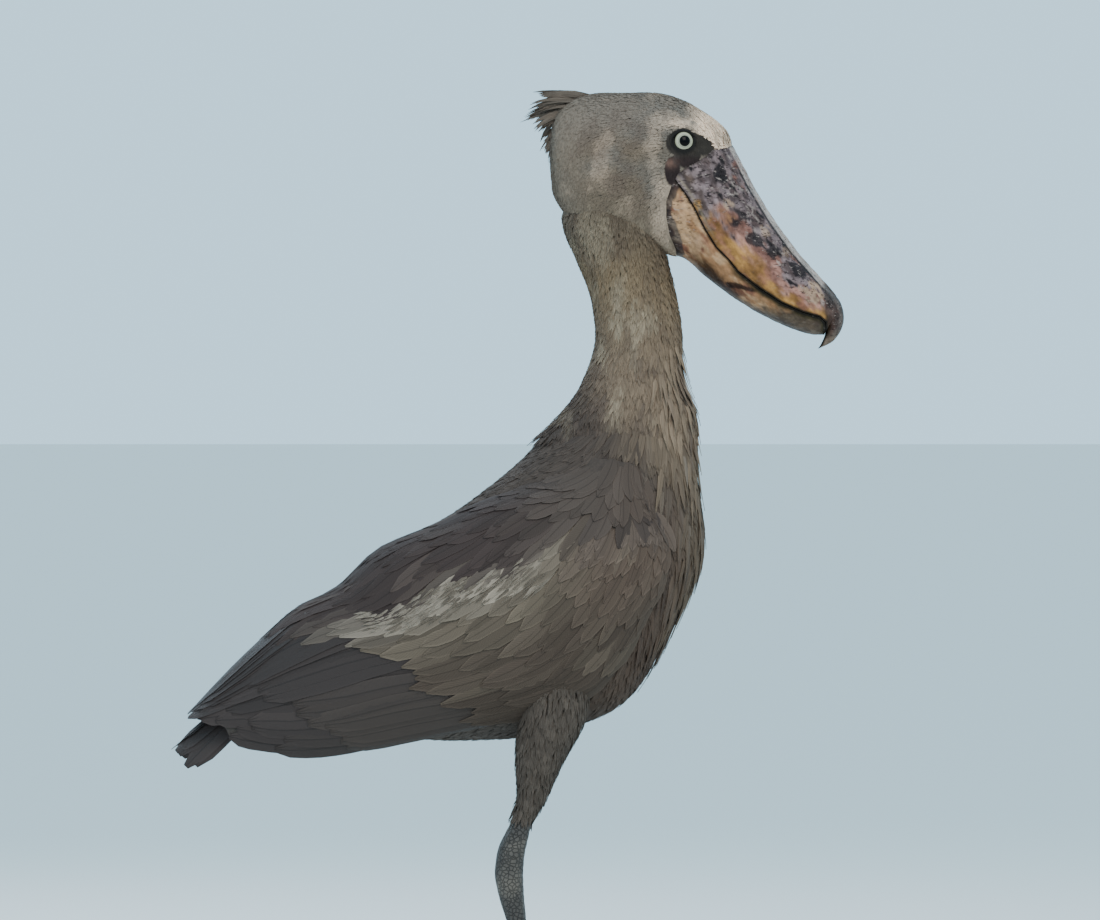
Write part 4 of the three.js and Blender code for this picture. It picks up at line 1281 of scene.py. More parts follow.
@dataclass(frozen=True)
class Finish:
    """One material: its pattern, and the constants set on its shader."""

    name: str
    look: Look
    roughness: float
    shine: float = 0.15
    gloss: float = 0.0
    bump: float = 0.0
    scale: float = 300.0
    strength: float = 0.2
    shaft: float = 0.0
    barbs: float = 0.0
    colour: str = "808080"

    def material(self) -> Material:
        """Makes the material, once.

        Returns:
            The material: the pattern's colour and height on one shader.
        """
        if self.name in bpy.data.materials:
            return bpy.data.materials[self.name]
        made = bpy.data.materials.new(self.name)
        made.use_nodes = True
        tree = made.node_tree
        shader = tree.nodes["Principled BSDF"]
        shader.inputs["Roughness"].default_value = self.roughness
        shader.inputs["Specular IOR Level"].default_value = self.shine
        shader.inputs["Coat Weight"].default_value = self.gloss
        shader.inputs["Coat Roughness"].default_value = 0.06
        shader.inputs["Base Color"].default_value = (*linear(self.colour), 1)
        colour, height = self.pattern(tree)
        if colour is not None:
            tree.links.new(colour, shader.inputs["Base Color"])
        if height is not None and self.bump:
            bump = add_node(tree, "ShaderNodeBump", {"Height": height, "Distance": self.bump * MM})
            tree.links.new(bump.outputs[0], shader.inputs["Normal"])
        return made

    def pattern(self, tree: Tree) -> tuple[Socket | None, Socket | None]:
        """The colour and the height of the finish, or None where it has none."""
        patterns = {
            Look.VANE: self.vane, Look.GRAIN: self.grain, Look.HORN: self.horn, Look.SCALES: self.scales,
            Look.EYE: self.rings,
        }
        return patterns[self.look](tree) if self.look in patterns else (None, None)

    def group(self, tree: Tree, inner: Tree, inputs: dict[str, float]) -> tuple[Socket, Socket]:
        """The colour and the height that a group of nodes gives."""
        outputs = add_node(tree, "ShaderNodeGroup", node_tree=inner)
        for name, value in inputs.items():
            outputs.inputs[name].default_value = value
        return outputs.outputs["Color"], outputs.outputs["Height"]

    def vane(self, tree: Tree) -> tuple[Socket, Socket]:
        """The vane of a feather."""
        return self.group(tree, vane_group(), {"Shaft": self.shaft, "Barbs": self.barbs})

    def grain(self, tree: Tree) -> tuple[Socket, Socket]:
        """Fine grain."""
        return self.group(tree, grain_group(), {"Scale": self.scale, "Strength": self.strength})

    def horn(self, tree: Tree) -> tuple[Socket, Socket]:
        """Weathered horn: grain, and pale flakes and dark nicks drawn out along the bill, both stronger
        where the tint's alpha is high."""
        colour, height = self.grain(tree)
        where = add_node(tree, "ShaderNodeTexCoord").outputs["Object"]
        worn = attribute(tree, "tint")["Alpha"]
        turned = {0: where, "Rotation": (0, math.radians(-BILL_SLOPE), 0), "Scale": (0.4, 1, 1)}
        along = add_node(tree, "ShaderNodeMapping", turned).outputs[0]
        for scale, low, high, share, tone in HORN_FLAKES:
            inputs = {"Vector": along, "Scale": scale, "Detail": 6.0, "Roughness": 0.65}
            flakes = add_node(tree, "ShaderNodeTexNoise", inputs).outputs["Fac"]
            mask = times(tree, times(tree, soft_mask(tree, flakes, low, high), worn), share)
            colour = blend_colours(tree, mask, colour, (*linear(tone), 1))
            height = plus(tree, height, times(tree, mask, 0.8))
        return colour, height

    def scales(self, tree: Tree) -> tuple[Socket, Socket]:
        """Small scales: cells in the object's own space with dark sunken borders."""
        where = add_node(tree, "ShaderNodeTexCoord").outputs["Object"]
        inputs = {"Vector": where, "Scale": self.scale}
        cells = add_node(tree, "ShaderNodeTexVoronoi", inputs, feature="DISTANCE_TO_EDGE")
        height = soft_mask(tree, cells.outputs["Distance"], 0.0, 0.16)
        tint = attribute(tree, "tint")["Color"]
        return blend_colours(tree, height, scaled(tree, tint, 0.45), tint), height

    def rings(self, tree: Tree) -> tuple[Socket, None]:
        """The eye's rings, read from the distance to the middle of the pupil."""
        far = add_node(tree, "ShaderNodeSeparateXYZ", {0: attribute(tree, "vane")["Vector"]}).outputs[0]
        ramp = add_node(tree, "ShaderNodeValToRGB", {"Fac": maths(tree, "DIVIDE", far, EYE["radius"])})
        elements = ramp.color_ramp.elements
        elements.remove(elements[1])
        elements[0].color = (*linear(EYE_RINGS[0][1]), 1)
        for at, tone in EYE_RINGS[1:]:
            elements.new(at).color = (*linear(tone), 1)
        return ramp.outputs[0], None


SKIN_FINISH = Finish("skin under feathers", Look.GRAIN, 0.72, bump=0.5, scale=420.0, strength=0.35)
DOWN_FINISH = Finish("down", Look.VANE, 0.86, bump=0.15, shaft=0.0, barbs=5.0)
BODY_FINISH = Finish("body feathers", Look.VANE, 0.82, bump=0.25, shaft=0.6, barbs=22.0)
FLIGHT_FINISH = Finish("flight feathers", Look.VANE, 0.6, shine=0.25, bump=0.3, shaft=0.7, barbs=55.0)
BILL_FINISH = Finish(
    "bill horn", Look.HORN, 0.5, shine=0.07, gloss=0.02, bump=0.45, scale=260.0, strength=0.4
)
LEG_FINISH = Finish("scaled leg", Look.SCALES, 0.62, shine=0.3, bump=0.9, scale=210.0)
CLAW_FINISH = Finish("claw horn", Look.PLAIN, 0.4, shine=0.4, gloss=0.1, colour="2b2724")
EYE_FINISH = Finish("eyeball rings", Look.EYE, 0.16, shine=0.1, gloss=0.0)
FLOOR_FINISH = Finish("floor", Look.PLAIN, 0.9, colour="e4e3df")


def eye_middle(side: int) -> Array:
    """The middle of one eyeball."""
    return np.array([EYE["x"], side * EYE["y"], EYE["z"]])


def eye_axes(side: int) -> tuple[Array, Array, Array]:
    """Where one eye looks, and the forward and upward directions square to that."""
    look = unit(EYE_LOOK * (1, side, 1))
    ahead = unit(np.array([1.0, 0, 0]) - look * look[0])
    return look, ahead, np.cross(ahead, look) * -side


def sunk(depth: float) -> OfThree:
    """The same depth below the surface everywhere."""
    return lambda a, b, p: np.full(a.shape, -depth)


@dataclass
class Skin:
    """One skin for head, neck, trunk, thighs, wing cores and tail core, inside the feathers."""

    trunk_depth: float = 5.0
    neck_depth: float = 4.0
    head_depth: float = 2.0
    wing_depth: float = 2.2
    head_rings: int = 190
    head_sides: int = 230
    lid_tube: float = 2.3

    def face_lift(self, a: Array, b: Array, p: Array) -> Array:
        """How far the head's skin stands out: sunk under the down, level on the bare face, with a brow,
        a hollow ahead of the eye, a fold behind the gape and folds round the eye as a sine of the
        distance to it."""
        x, z = p[..., 0], p[..., 2]
        aside = smooth(20, 34, np.abs(p[..., 1]))
        bare = smooth(1.25, 1.0, face_distance(p)) * aside
        r = np.hypot(x - EYE["x"], z - EYE["z"])
        brow = 3.2 * oval(x - 204, 24, z - 1116 - 0.12 * (204 - x), 5.5)
        hollow = 2.0 * oval(x - 221, 12, z - 1088, 8)
        gape = 1.4 * oval(x - 188, 6, z - 1062, 12)
        folds = (
            0.55 * np.sin((r - 14) * 2.3 + 1.2 * cloud(p, 12, 3)) * smooth(13.5, 15, r) * smooth(25, 18, r)
        )
        cheek_folds = 0.4 * np.sin(x * 1.5 + 1.5 * cloud(p, 10, 4)) * smooth(1082, 1070, z) * bare
        near = beyond_bill_base(p)
        depth = self.head_depth * (1 - bare) * smooth(-1, -14, near) + 0.7 * smooth(-5, -1, near)
        return (brow - hollow - gape + (folds + cheek_folds) * bare) * aside - depth

    def lid(self, side: int) -> Shell:
        """The swollen rim of the eye: a bar round it, drawn to a point ahead, thicker above."""
        look, ahead, up = eye_axes(side)
        turn = np.linspace(0, 2 * np.pi, 96, endpoint=False)
        c, s = np.cos(turn), np.sin(turn)
        front = bell((turn + np.pi) % (2 * np.pi) - np.pi, 0.42)
        rear = bell(turn - np.pi, 0.5)
        radius = EYE["opening"] + 1.5 + 4.6 * front + 1.0 * rear
        wide, high = radius * 1.1, radius * 0.95
        tube = self.lid_tube * (0.82 + 0.32 * np.clip(s, 0, 1) - 0.22 * front)
        sit = math.sqrt(EYE["radius"] ** 2 - EYE["opening"] ** 2) - 1.2
        middle = eye_middle(side) + look * sit
        line = middle + (wide * c)[:, None] * ahead + (high * s)[:, None] * up - (2.2 * front)[:, None] * look
        out = c[:, None] * ahead + s[:, None] * up
        round_ = np.linspace(0, 2 * np.pi, 18, endpoint=False)[None, :, None]
        ripple = 1 + 0.06 * np.sin(turn * 23)[:, None, None]
        rings = line[:, None] + tube[:, None, None] * ripple * (
            out[:, None] * np.cos(round_) + look * np.sin(round_) * 0.9
        )
        return ring_shell(rings)

    def wing_core(self, side: int) -> Shell:
        """The core of one folded wing, between its outer face, sunk by the coat, and its inner face."""
        wing = WINGS[side]
        a = np.linspace(0.8, 8.9, 60)[:, None] * np.ones(40)
        b = np.linspace(0.03, 0.97, 40)[None] * np.ones((60, 1))
        outer = wing.point(a, b) - wing.normal(a, b) * self.wing_depth
        return plate_shell(outer, wing.inner(a, b))

    def tail_core(self) -> Shell:
        """The thin core of the tail."""
        a = np.linspace(0.0, 0.72, 24)[:, None] * np.ones(18)
        b = np.linspace(-0.8, 0.8, 18)[None] * np.ones((24, 1))
        p, n = TAIL_FAN.point(a, b), TAIL_FAN.normal(a, b)
        return plate_shell(p - n * 2.2, p - n * (9 - 7 * a)[..., None])

    def build(self) -> None:
        """Builds the skin as one closed body."""
        head = body_shell(SKULL_FORM, self.head_rings, self.head_sides, self.face_lift, (0.0, 8.6))
        front = [(x + 2, z) for x, z in BILL_BASE]
        keep = prism([(20, 1200), (front[0][0], 1200), *front, (197, 880), (20, 880)], 90)
        trunk = body_shell(TRUNK_FORM, 90, 110, sunk(self.trunk_depth), (0.0, 7.0), (8, 20))
        neck = body_shell(NECK_FORM, 60, 80, sunk(self.neck_depth), (0.0, 8.0))
        parts = [neck, trunk, self.tail_core()]
        for side in SIDE_NAMES:
            thigh = body_shell(thigh_limb(side), 30, 40, sunk(self.neck_depth), (0.0, 3.8), (6, 4))
            parts += [self.lid(side), self.wing_core(side), thigh]
        steps = [(Step.KEEP, keep), *((Step.JOIN, raw_object("part", shell)) for shell in parts)]
        mesh = shaped(raw_object("head", head), steps)
        skin = coloured("skin", mesh, self.colour, SKIN_FINISH.material())
        nodes = ["head", "neck", "torso", "tail"]
        nodes += [f"{name}_{side}" for name in ("wing", "thigh") for side in SIDE_NAMES.values()]
        place(skin, "plumage", nodes)

    def colour(self, p: Array) -> Array:
        """The skin's colour, with the rims of the eyes nearly black."""
        r = np.hypot(p[..., 0] - EYE["x"] - 1, p[..., 2] - EYE["z"])
        rim = smooth(16.5, 13.0, r) * smooth(36, 40, np.abs(p[..., 1])) * smooth(1070, 1080, p[..., 2])
        return mix(skin_colour(p), "0e0c0b", rim * 0.9)


def line_distance(points: Array, line: Rows) -> Array:
    """The distance in x and z from each point to a line of straight stretches, below zero under it.

    Args:
        points: Points with x, y, z.
        line: Corners as x and z, from the back forwards.

    Returns:
        For the nearest stretch, the length of the offset from its nearest point, with the sign of the
        cross product of stretch and offset.
    """
    xz = points[..., [0, 2]]
    best = np.full(xz.shape[:-1], 1e9)
    signed = np.zeros_like(best)
    for start, end in zip(np.asarray(line, float)[:-1], np.asarray(line, float)[1:]):
        way = end - start
        t = np.clip(np.sum((xz - start) * way, axis=-1) / np.sum(way * way), 0, 1)
        off = xz - start - t[..., None] * way
        far = np.linalg.norm(off, axis=-1)
        sign = np.sign(way[0] * off[..., 1] - way[1] * off[..., 0])
        signed = np.where(far < best, far * sign, signed)
        best = np.minimum(far, best)
    return signed


def moved_line(line: Rows, by: float) -> list[Pair]:
    """A line of corners in x and z moved square to itself, to its upper side for a positive number."""
    points = np.asarray(line, float)
    way = unit(np.gradient(points, axis=0))
    return [tuple(p) for p in points + np.stack([-way[:, 1], way[:, 0]], -1) * by]


# Dark blotches of the bill: x, z, length, height, and 1 where it lies along the bill.
BILL_BLOTCHES = (
    (259, 1004, 15, 11, 0), (281, 984, 18, 10, 1), (303, 966, 13, 11, 0), (334, 947, 14, 9, 1),
    (241, 1062, 8, 14, 0),
)
# Pale spots of the bill: x, z, size and strength.
BILL_PALE_SPOTS = (
    (350, 922, 16, 0.85), (251, 1024, 8, 0.7), (294, 993, 9, 0.55), (318, 968, 8, 0.5), (338, 926, 9, 0.5)
)


def along_bill(x: Array, z: Array) -> tuple[Array, Array]:
    """The parts of an offset along the bill and across it."""
    return BILL_COS * x - BILL_SIN * z, BILL_SIN * x + BILL_COS * z


def bill_colour(p: Array) -> Array:
    """The bill: ochre beside the mouth, pink-brown above it, dusky and weathered towards the ridge and
    the base, with dark blotches, pale flakes, a dark groove by the ridge and a grey-brown hook. The
    fourth value says how worn the horn is."""
    x, z = p[..., 0], p[..., 2]
    mouth = line_distance(p, MOUTH)
    ridge = [(row[0], row[1]) for row in SKULL[6:]] + [(row[0], row[1]) for row in NAIL[1:]]
    top = -line_distance(p, ridge)
    along = ((x - 225) * 147 - (z - 1030) * 140) / (147**2 + 140**2)
    height = np.clip(mouth / np.maximum(mouth + top, 1), 0, 1)
    ahead, up = along_bill(x, z)
    q = np.stack([ahead * 0.5, p[..., 1] * 0.8, up], -1)
    fine, wide = cloud(q, 8, 31, 3), cloud(q, 21, 32, 3)
    upper = smooth(-1, 1.5, mouth)
    ochre = mix("69492a", "9d7240", smooth(-0.5, 0.6, cloud(q, 14, 33)))
    ochre = mix(ochre, "7c5144", smooth(0.0, 0.7, cloud(q, 9, 39)) * 0.7)
    pink = mix("69483f", "a07466", smooth(-0.4, 0.6, fine))
    dusk = mix("3a3334", "716364", smooth(-0.5, 0.6, cloud(q, 5, 34)))
    colour = mix(ochre, pink, smooth(0.2, 0.4, height + 0.16 * wide + 0.1 * fine))
    grey = 0.62 * smooth(0.34, 0.7, height) + 0.85 * smooth(0.0, -0.11, along) + 0.5 * wide + 0.35 * fine
    grey = grey + 0.2 * smooth(0.55, 0.3, along) - 0.12 * smooth(0.6, 0.75, along)
    colour = mix(colour, dusk, smooth(0.28, 0.56, grey) * 0.9)
    for cx, cz, long, high, turn in BILL_BLOTCHES:
        u, v = along_bill(x - cx, z - cz) if turn else (x - cx, z - cz)
        spot = oval(u, long, v, high) + 0.5 * fine + 0.25 * wide
        colour = mix(colour, "1f1b1d", smooth(0.42, 0.62, spot) * 0.9 * upper)
    flecks = smooth(0.35, 0.6, cloud(q, 4, 35, 3)) * smooth(-0.2, 0.4, cloud(p, 26, 36))
    colour = mix(colour, "978880", flecks * smooth(0.3, 0.5, height) * 0.6)
    for cx, cz, size, much in BILL_PALE_SPOTS:
        spot = np.exp(-(((x - cx) / size) ** 2) - ((z - cz) / size / 1.2) ** 2)
        spot = spot * (0.75 + 0.6 * cloud(q, 4.0, 38, 3))
        colour = mix(colour, "967b66", smooth(0.35, 0.7, spot) * much)
    groove = bell(top - 6.8, 1.3) * smooth(-0.05, 0.05, along) * smooth(1.02, 0.9, along)
    colour = mix(colour, "1b1413", groove * 0.9)
    colour = mix(colour, "a8998f", smooth(6.4, 4.6, top) * (0.75 + 0.3 * fine))
    hook = np.maximum(smooth(358, 365, x + 2 * fine), smooth(896, 888, z) * smooth(343, 350, x))
    colour = mix(colour, mix("211b19", "3b302c", smooth(-0.4, 0.5, fine)), hook * 0.88)
    colour = mix(colour, "756455", smooth(882, 866, z) * hook * 0.5)
    low = mix("8d6647", "6b4437", smooth(-0.2, 0.6, cloud(q, 12, 37)) * 0.85)
    low = mix(low, "b5916e", smooth(-0.1, 0.6, fine + 0.6 * smooth(0.35, 0.1, along)) * 0.6)
    edge = smooth(15, 6, beyond_bill_base(p) + 5 * wide)
    low = mix(
        low, mix("2e2829", "554c46", smooth(-0.4, 0.6, fine)), smooth(0.1, 0.5, edge + 0.25 * fine) * 0.85
    )
    low = mix(low, "2a191b", smooth(1034, 1044, z + 4 * fine) * 0.85)
    low = mix(low, "3a352f", smooth(0.72, 0.86, along + 0.06 * fine - 0.006 * mouth) * 0.85)
    # Painted shade along the lower half's underside, darkest towards its bottom edge.
    low = mix(low, "1e1410", smooth(-16, -23, mouth + 3 * fine) * smooth(0.1, 0.3, along) * 0.9)
    u, v = 0.97 * (x - 267) - 0.24 * (z - 928), 0.24 * (x - 267) + 0.97 * (z - 928)
    wedge = 3.2 + 0.12 * np.clip(-u, 0, 20)
    spot = np.exp(-((u / 19) ** 4) - (v / wedge) ** 2) * (0.9 + 0.6 * cloud(q, 6, 40))
    low = mix(low, "1e1210", smooth(0.3, 0.6, spot) * 0.9)
    colour = mix(low, colour, upper)
    # Painted shadow along the mouth: a dark olive band under the edge of the upper half, and a darker line in
    # the gap between the halves.
    shade = smooth(8.0, 3.0, -mouth) * smooth(1.0, -0.5, mouth) * smooth(0.25, 0.45, along)
    shade = np.maximum(shade, 0.8 * smooth(5, 0, mouth) * smooth(-1, 0, mouth) * smooth(0.4, 0.7, along))
    colour = mix(colour, "2c2614", np.clip(shade * (0.95 + 0.3 * fine), 0, 0.92))
    colour = mix(colour, "15110c", smooth(2.4, 0.7, np.abs(mouth + 0.4) - smooth(0.3, 0.6, along)) * 0.95)
    colour = mix(colour, "8f7e68", bell(mouth - 4.5, 1.5) * smooth(0.22, 0.08, along) * 0.55)
    colour = mix(colour, "251e1c", smooth(9, 0.5, beyond_bill_base(p) + 3 * fine) * 0.75)
    colour = colour * (1 + 0.35 * cloud(q, 4.0, 26, 3))[..., None]
    worn = upper * smooth(0.32, 0.55, height + 0.2 * wide) * 0.9 + 0.12 + 0.6 * smooth(0.2, 0.0, along)
    return np.concatenate([colour, np.clip(worn, 0, 1)[..., None]], axis=-1)


@dataclass
class Bill:
    """The great bill: an upper half with its hook, and a lower half."""

    rings: int = 230
    sides: int = 260
    seam: float = 0.4
    waves: float = 0.4
    nostril: Pair = (8.9, 24.0)

    def lift(self, a: Array, b: Array, p: Array) -> Array:
        """Soft waves, long shallow scratches, and a narrow dent for each nostril."""
        along = np.stack([(p[..., 0] + p[..., 2]) * 0.3, p[..., 1], (p[..., 0] - p[..., 2]) * 1.6], -1)
        lift = self.waves * cloud(p, 22, 41) + 0.3 * cloud(along, 8, 42)
        lift = lift * smooth(0, 9, beyond_bill_base(p)) - 0.25 * smooth(5, 0, beyond_bill_base(p))
        s, aside = self.nostril
        for side in SIDE_NAMES:
            at = np.array([s]), np.array([90 - side * aside])
            middle, way = SKULL_FORM.point(*at)[0], unit(SKULL_FORM.tangents(*at)[0])[0]
            off = p - middle
            forward = off @ way
            across = np.linalg.norm(off - forward[..., None] * way, axis=-1)
            lift = lift - 2.4 * np.exp(-((forward / 7.5) ** 4) - (across / 1.9) ** 2)
        return lift

    def part(self, grow: float) -> Object:
        """The front of the skull's form as a solid of its own."""
        lift = lambda a, b, p: self.lift(a, b, p) + grow
        return raw_object("bill", body_shell(SKULL_FORM, self.rings, self.sides, lift, (4.6, 14.0)))

    def build(self) -> None:
        """Builds both halves."""
        mouth = [GAPE, *MOUTH[1:]]
        above, below = moved_line(mouth, self.seam), moved_line(mouth, -self.seam)
        top = prism([*BILL_BASE[:8], *above, (348, 800), (480, 800), (480, 1180), (284, 1180)], 90)
        nail = raw_object(
            "nail", body_shell(NAIL_FORM, 70, 60, lambda a, b, p: 0.3 * cloud(p, 9, 43), (0.0, 5.0))
        )
        upper = shaped(self.part(0.0), [(Step.KEEP, top), (Step.JOIN, nail)])
        place(coloured("bill_upper_horn", upper, bill_colour, BILL_FINISH.material()), "bill", ["bill_upper"])
        base = prism([*below, (340, 820), (195, 820), *BILL_BASE[:7:-1]], 90)
        lower = shaped(self.part(-0.8), [(Step.KEEP, base)])
        place(coloured("bill_lower_horn", lower, bill_colour, BILL_FINISH.material()), "bill", ["bill_lower"])


@dataclass
class Eyes:
    """Both eyeballs."""

    rings: int = 72
    sides: int = 64

    def ball(self, side: int) -> Shell:
        """A ball whose rings go round the line of sight; each point keeps its distance to that line."""
        look, ahead, up = eye_axes(side)
        tilt = np.linspace(0.01, np.pi - 0.01, self.rings)[:, None, None]
        turn = np.linspace(0, 2 * np.pi, self.sides, endpoint=False)[None, :, None]
        bulge = 1 + 0.035 * bell(tilt, 0.42)
        way = look * np.cos(tilt) + (ahead * np.cos(turn) + up * np.sin(turn)) * np.sin(tilt)
        shell = closed_rings(eye_middle(side) + EYE["radius"] * bulge * way)
        off = shell.points - eye_middle(side)
        far = np.linalg.norm(off - (off @ look)[:, None] * look, axis=-1)
        far = np.where(off @ look > 0, far, EYE["radius"])
        shell.vane = np.stack([far, far * 0, far * 0], -1)
        return shell

    def build(self) -> None:
        """Builds both eyes."""
        for side, name in SIDE_NAMES.items():
            eye = make_object(f"eyeball_{name}", outward(self.ball(side)), EYE_FINISH.material())
            place(eye, "eye", [f"eye_{name}"])


def leg_colour(p: Array) -> Array:
    """The bare legs: dark grey-brown, paler and dusty on the joints and toes."""
    colour = mix("3f3a36", "5b544c", smooth(-0.3, 0.8, cloud(p, 24, 51)))
    return mix(colour, "4c463f", smooth(60, 20, p[..., 2]) * 0.6)


@dataclass
class Legs:
    """The bare shanks, the feet and the claws."""

    pad: Four = (17.0, 16.0, 15.0, 14.0)

    def shank_lift(self, a: Array, b: Array, p: Array) -> Array:
        """Broad plates across the front of the shank, as a rounded saw of the height."""
        saw = np.abs(np.sin(p[..., 2] * np.pi / 9.5 + 0.6 * cloud(p, 30, 61)))
        front = smooth(-0.3, 0.6, np.cos(np.radians(b - 90)))
        return 0.5 * saw**0.6 * front + 0.35 * cloud(p, 9, 62)

    def toe_lift(self, a: Array, b: Array, p: Array) -> Array:
        """Plates across the top of a toe and swollen pads under its joints."""
        saw = np.abs(np.sin(a * 9.5)) ** 0.6
        return 0.45 * saw * smooth(0, 0.6, np.sin(np.radians(b))) + 0.25 * cloud(p, 7, 63)

    def foot(self, side: int) -> list[Shell]:
        """The pad and the toes of one foot, flat where they press on the floor."""
        wide, deep, high, z = self.pad
        turn = np.linspace(0, 2 * np.pi, 40, endpoint=False)[None, :, None]
        tilt = np.linspace(0.05, np.pi - 0.05, 28)[:, None, None]
        aside, ahead = np.sin(tilt) * np.cos(turn) * wide, np.sin(tilt) * np.sin(turn) * deep
        ball = np.concatenate([aside, ahead, np.cos(tilt) * high * np.ones_like(turn)], -1)
        shells = [closed_rings(ball + (LEG["x"], side * LEG["apart"], z))]
        for degrees, length, _ in TOES.values():
            shells.append(
                body_shell(toe_limb(side, degrees, length), 90, 36, self.toe_lift, (0.0, 5.0), (4, 5))
            )
        for shell in shells:
            shell.points[:, 2] = np.maximum(shell.points[:, 2], 0.0)
        return shells

    def build(self) -> None:
        """Builds the legs and the claws."""
        meshes = []
        for side in SIDE_NAMES:
            shank = body_shell(shank_limb(side), 170, 48, self.shank_lift, (0.0, 6.0), (4, 3))
            steps = [(Step.JOIN, raw_object("part", shell)) for shell in self.foot(side)]
            meshes.append(shaped(raw_object("shank", shank), steps))
        left, right = (linked("side", mesh) for mesh in meshes)
        both = shaped(left, [(Step.JOIN, right)])
        legs = coloured("legs", both, leg_colour, LEG_FINISH.material())
        place(legs, "leg", [f"{part}_{side}" for part in ("shank", "foot") for side in SIDE_NAMES.values()])
        for side, name in SIDE_NAMES.items():
            shells = [
                body_shell(
                    claw_limb(side, degrees, length, claw), 24, 20, lambda a, b, p: a * 0, (0.0, 3.0),
                    (2, 0.4)
                )
                for degrees, length, claw in TOES.values()
            ]
            claws = make_object(f"claws_{name}", outward(join_shells(shells)), CLAW_FINISH.material())
            place(claws, "claw", [f"claw_{toe}_{name}" for toe in TOES])


DOWN = VaneKind(
    Outline.DOWN, rows=3, thick=0.3, root=-2.3, tip=0.6, camber=0.15, bend=0.6, ragged=0.0, edge=0.1,
    full=11.0
)
NECK_KIND = VaneKind(Outline.LANCE, rows=4, thick=0.4, root=-4.4, tip=0.7, camber=0.12, bend=0.5, edge=0.2)
BODY_KIND = VaneKind(
    Outline.COVERT, rows=5, thick=0.4, root=-5.4, tip=1.0, camber=0.12, bend=0.5, edge=0.22, ragged=0.3
)
SOFT_KIND = VaneKind(
    Outline.LANCE, rows=5, thick=0.4, root=-4.6, tip=1.2, camber=0.12, bend=0.5, edge=0.2, ragged=0.3
)
PLUME_KIND = VaneKind(
    Outline.LANCE, rows=8, cols=5, thick=0.6, root=-5.0, tip=3.6, camber=0.2, bend=0.6, ragged=0.4, edge=0.35
)
COVERT_KIND = VaneKind(
    Outline.COVERT, rows=7, cols=5, thick=0.35, root=-2.4, tip=0.9, camber=0.08, bend=0.7, ragged=0.25,
    tilt=2, edge=0.3
)
SMALL_KIND = replace(COVERT_KIND, rows=6, cols=3, ragged=0.3)
DARK_KIND = replace(COVERT_KIND, ragged=0.15, edge=0.14)
BLADE_KIND = VaneKind(
    Outline.BLADE, rows=10, cols=5, thick=0.5, root=-2.2, tip=0.8, camber=0.06, bend=0.8, ragged=0.06, tilt=2,
    edge=0.14
)
FRAY_KIND = VaneKind(
    Outline.LANCE, rows=6, cols=3, thick=0.4, root=-1.5, tip=2.2, camber=0.1, ragged=0.5, edge=0.3
)


@dataclass(frozen=True)
class FeatherRow:
    """A row of large feathers: where its roots lie, how many, how big, of which kind and colour."""

    a: float
    low: float
    high: float
    count: int
    length: float
    half: float
    kind: VaneKind
    colour: OfOne
    vary: float = 0.09

    def build(self, surface: Surface, side: int, rng: Generator) -> Shell:
        """Builds the row on a surface.

        Args:
            surface: The surface walked over.
            side: Turns the feathers' tilt, so that upper ones lie over lower ones.
            rng: Draws in a fixed order.

        Returns:
            The shell of the whole row.
        """
        gap = (self.high - self.low) / max(self.count - 1, 1)
        b = np.linspace(self.low, self.high, self.count) + gap * rng.uniform(-0.22, 0.22, self.count)
        a = self.a + rng.uniform(-0.13, 0.13, self.count) * (surface.span_a[1] / 10)
        length = self.length * (1 + self.vary * rng.uniform(-1, 1, self.count))
        sway = rng.normal(0, 0.4 * self.vary, (self.count, 3))
        lie = lambda p, along: along + sway
        line, normals = walk(surface, a, b, lie, length, self.kind.rows)
        half = self.half * (1 + 0.12 * rng.uniform(-1, 1, self.count))
        tone = 1 + 0.15 * rng.uniform(-1, 1, (self.count, 1))
        colour = self.colour(line[:, len(line[0]) // 2]) * tone
        kind = replace(self.kind, tilt=-side * self.kind.tilt)
        return vane_shell(line, normals, kind, half, colour, surface.unwrap(a, b), rng)


# The lower edge of the dark scapulars seen from the side: x and z.
DARK_EDGE = ((-330, 380), (-206, 548), (-122, 567), (-45, 602), (16, 611), (62, 648), (154, 668), (230, 690))


def below_dark_edge(p: Array) -> Array:
    """How far a point lies below the scapulars' edge."""
    line = np.array(DARK_EDGE, float)
    return np.interp(p[..., 0], line[:, 0], line[:, 1]) - p[..., 2]


def scapular_edge(a: float) -> float:
    """The share of the wing at which a station passes below the scapulars' edge."""
    share = np.linspace(0, 1, 90)
    below = below_dark_edge(WINGS[LEFT].point(np.full(90, a), share)) > 0
    return float(share[np.argmax(below)]) if below.any() else 1.0


def wing_colour(p: Array) -> Array:
    """The wing: slate scapulars, brown near the neck, then a pale band, brown coverts and a dark border, with
    a painted shadow line just under the scapulars' edge at the shoulder.
    """
    x, below = p[..., 0], below_dark_edge(p)
    dark = mix("slate", "mantle", smooth(-20, 90, x))
    dark = mix(dark, "breast", smooth(90, 180, x) * 0.7)
    dark = mix(dark, mix("neck_tan", "mantle", collar(p)), smooth(680, 740, p[..., 2]) * smooth(60, 120, x))
    dark = mix(dark, "shoulder", smooth(0.3, 0.9, cloud(p, 30, 72)) * 0.3)
    pale = mix("covert", "side", smooth(50, 120, below))
    pale = mix(pale, "breast", smooth(50, 130, x) * smooth(120, 60, below) * 0.8)
    pale = mix(pale, "frayed", smooth(40, 10, below) * smooth(80, 10, x) * smooth(-210, -130, x) * 0.7)
    pale = mix(pale, "dark", smooth(-70, -190, x) * 0.75)
    pale = mix(pale, "shoulder", smooth(55, 100, x) * smooth(45, 15, below) * 0.85)
    pale = mix(pale, "throat", smooth(0.3, 0.9, cloud(p, 26, 71)) * 0.1)
    # Painted shadow of the overhanging scapulars: a dark line just below their edge near the shoulder.
    line = bell(below - 2, 6) * smooth(50, 85, x) * smooth(190, 165, x)
    return mix(mix(dark, pale, smooth(-10, 10, below + 5 * cloud(p, 14, 74))), "dark", line * 0.75)


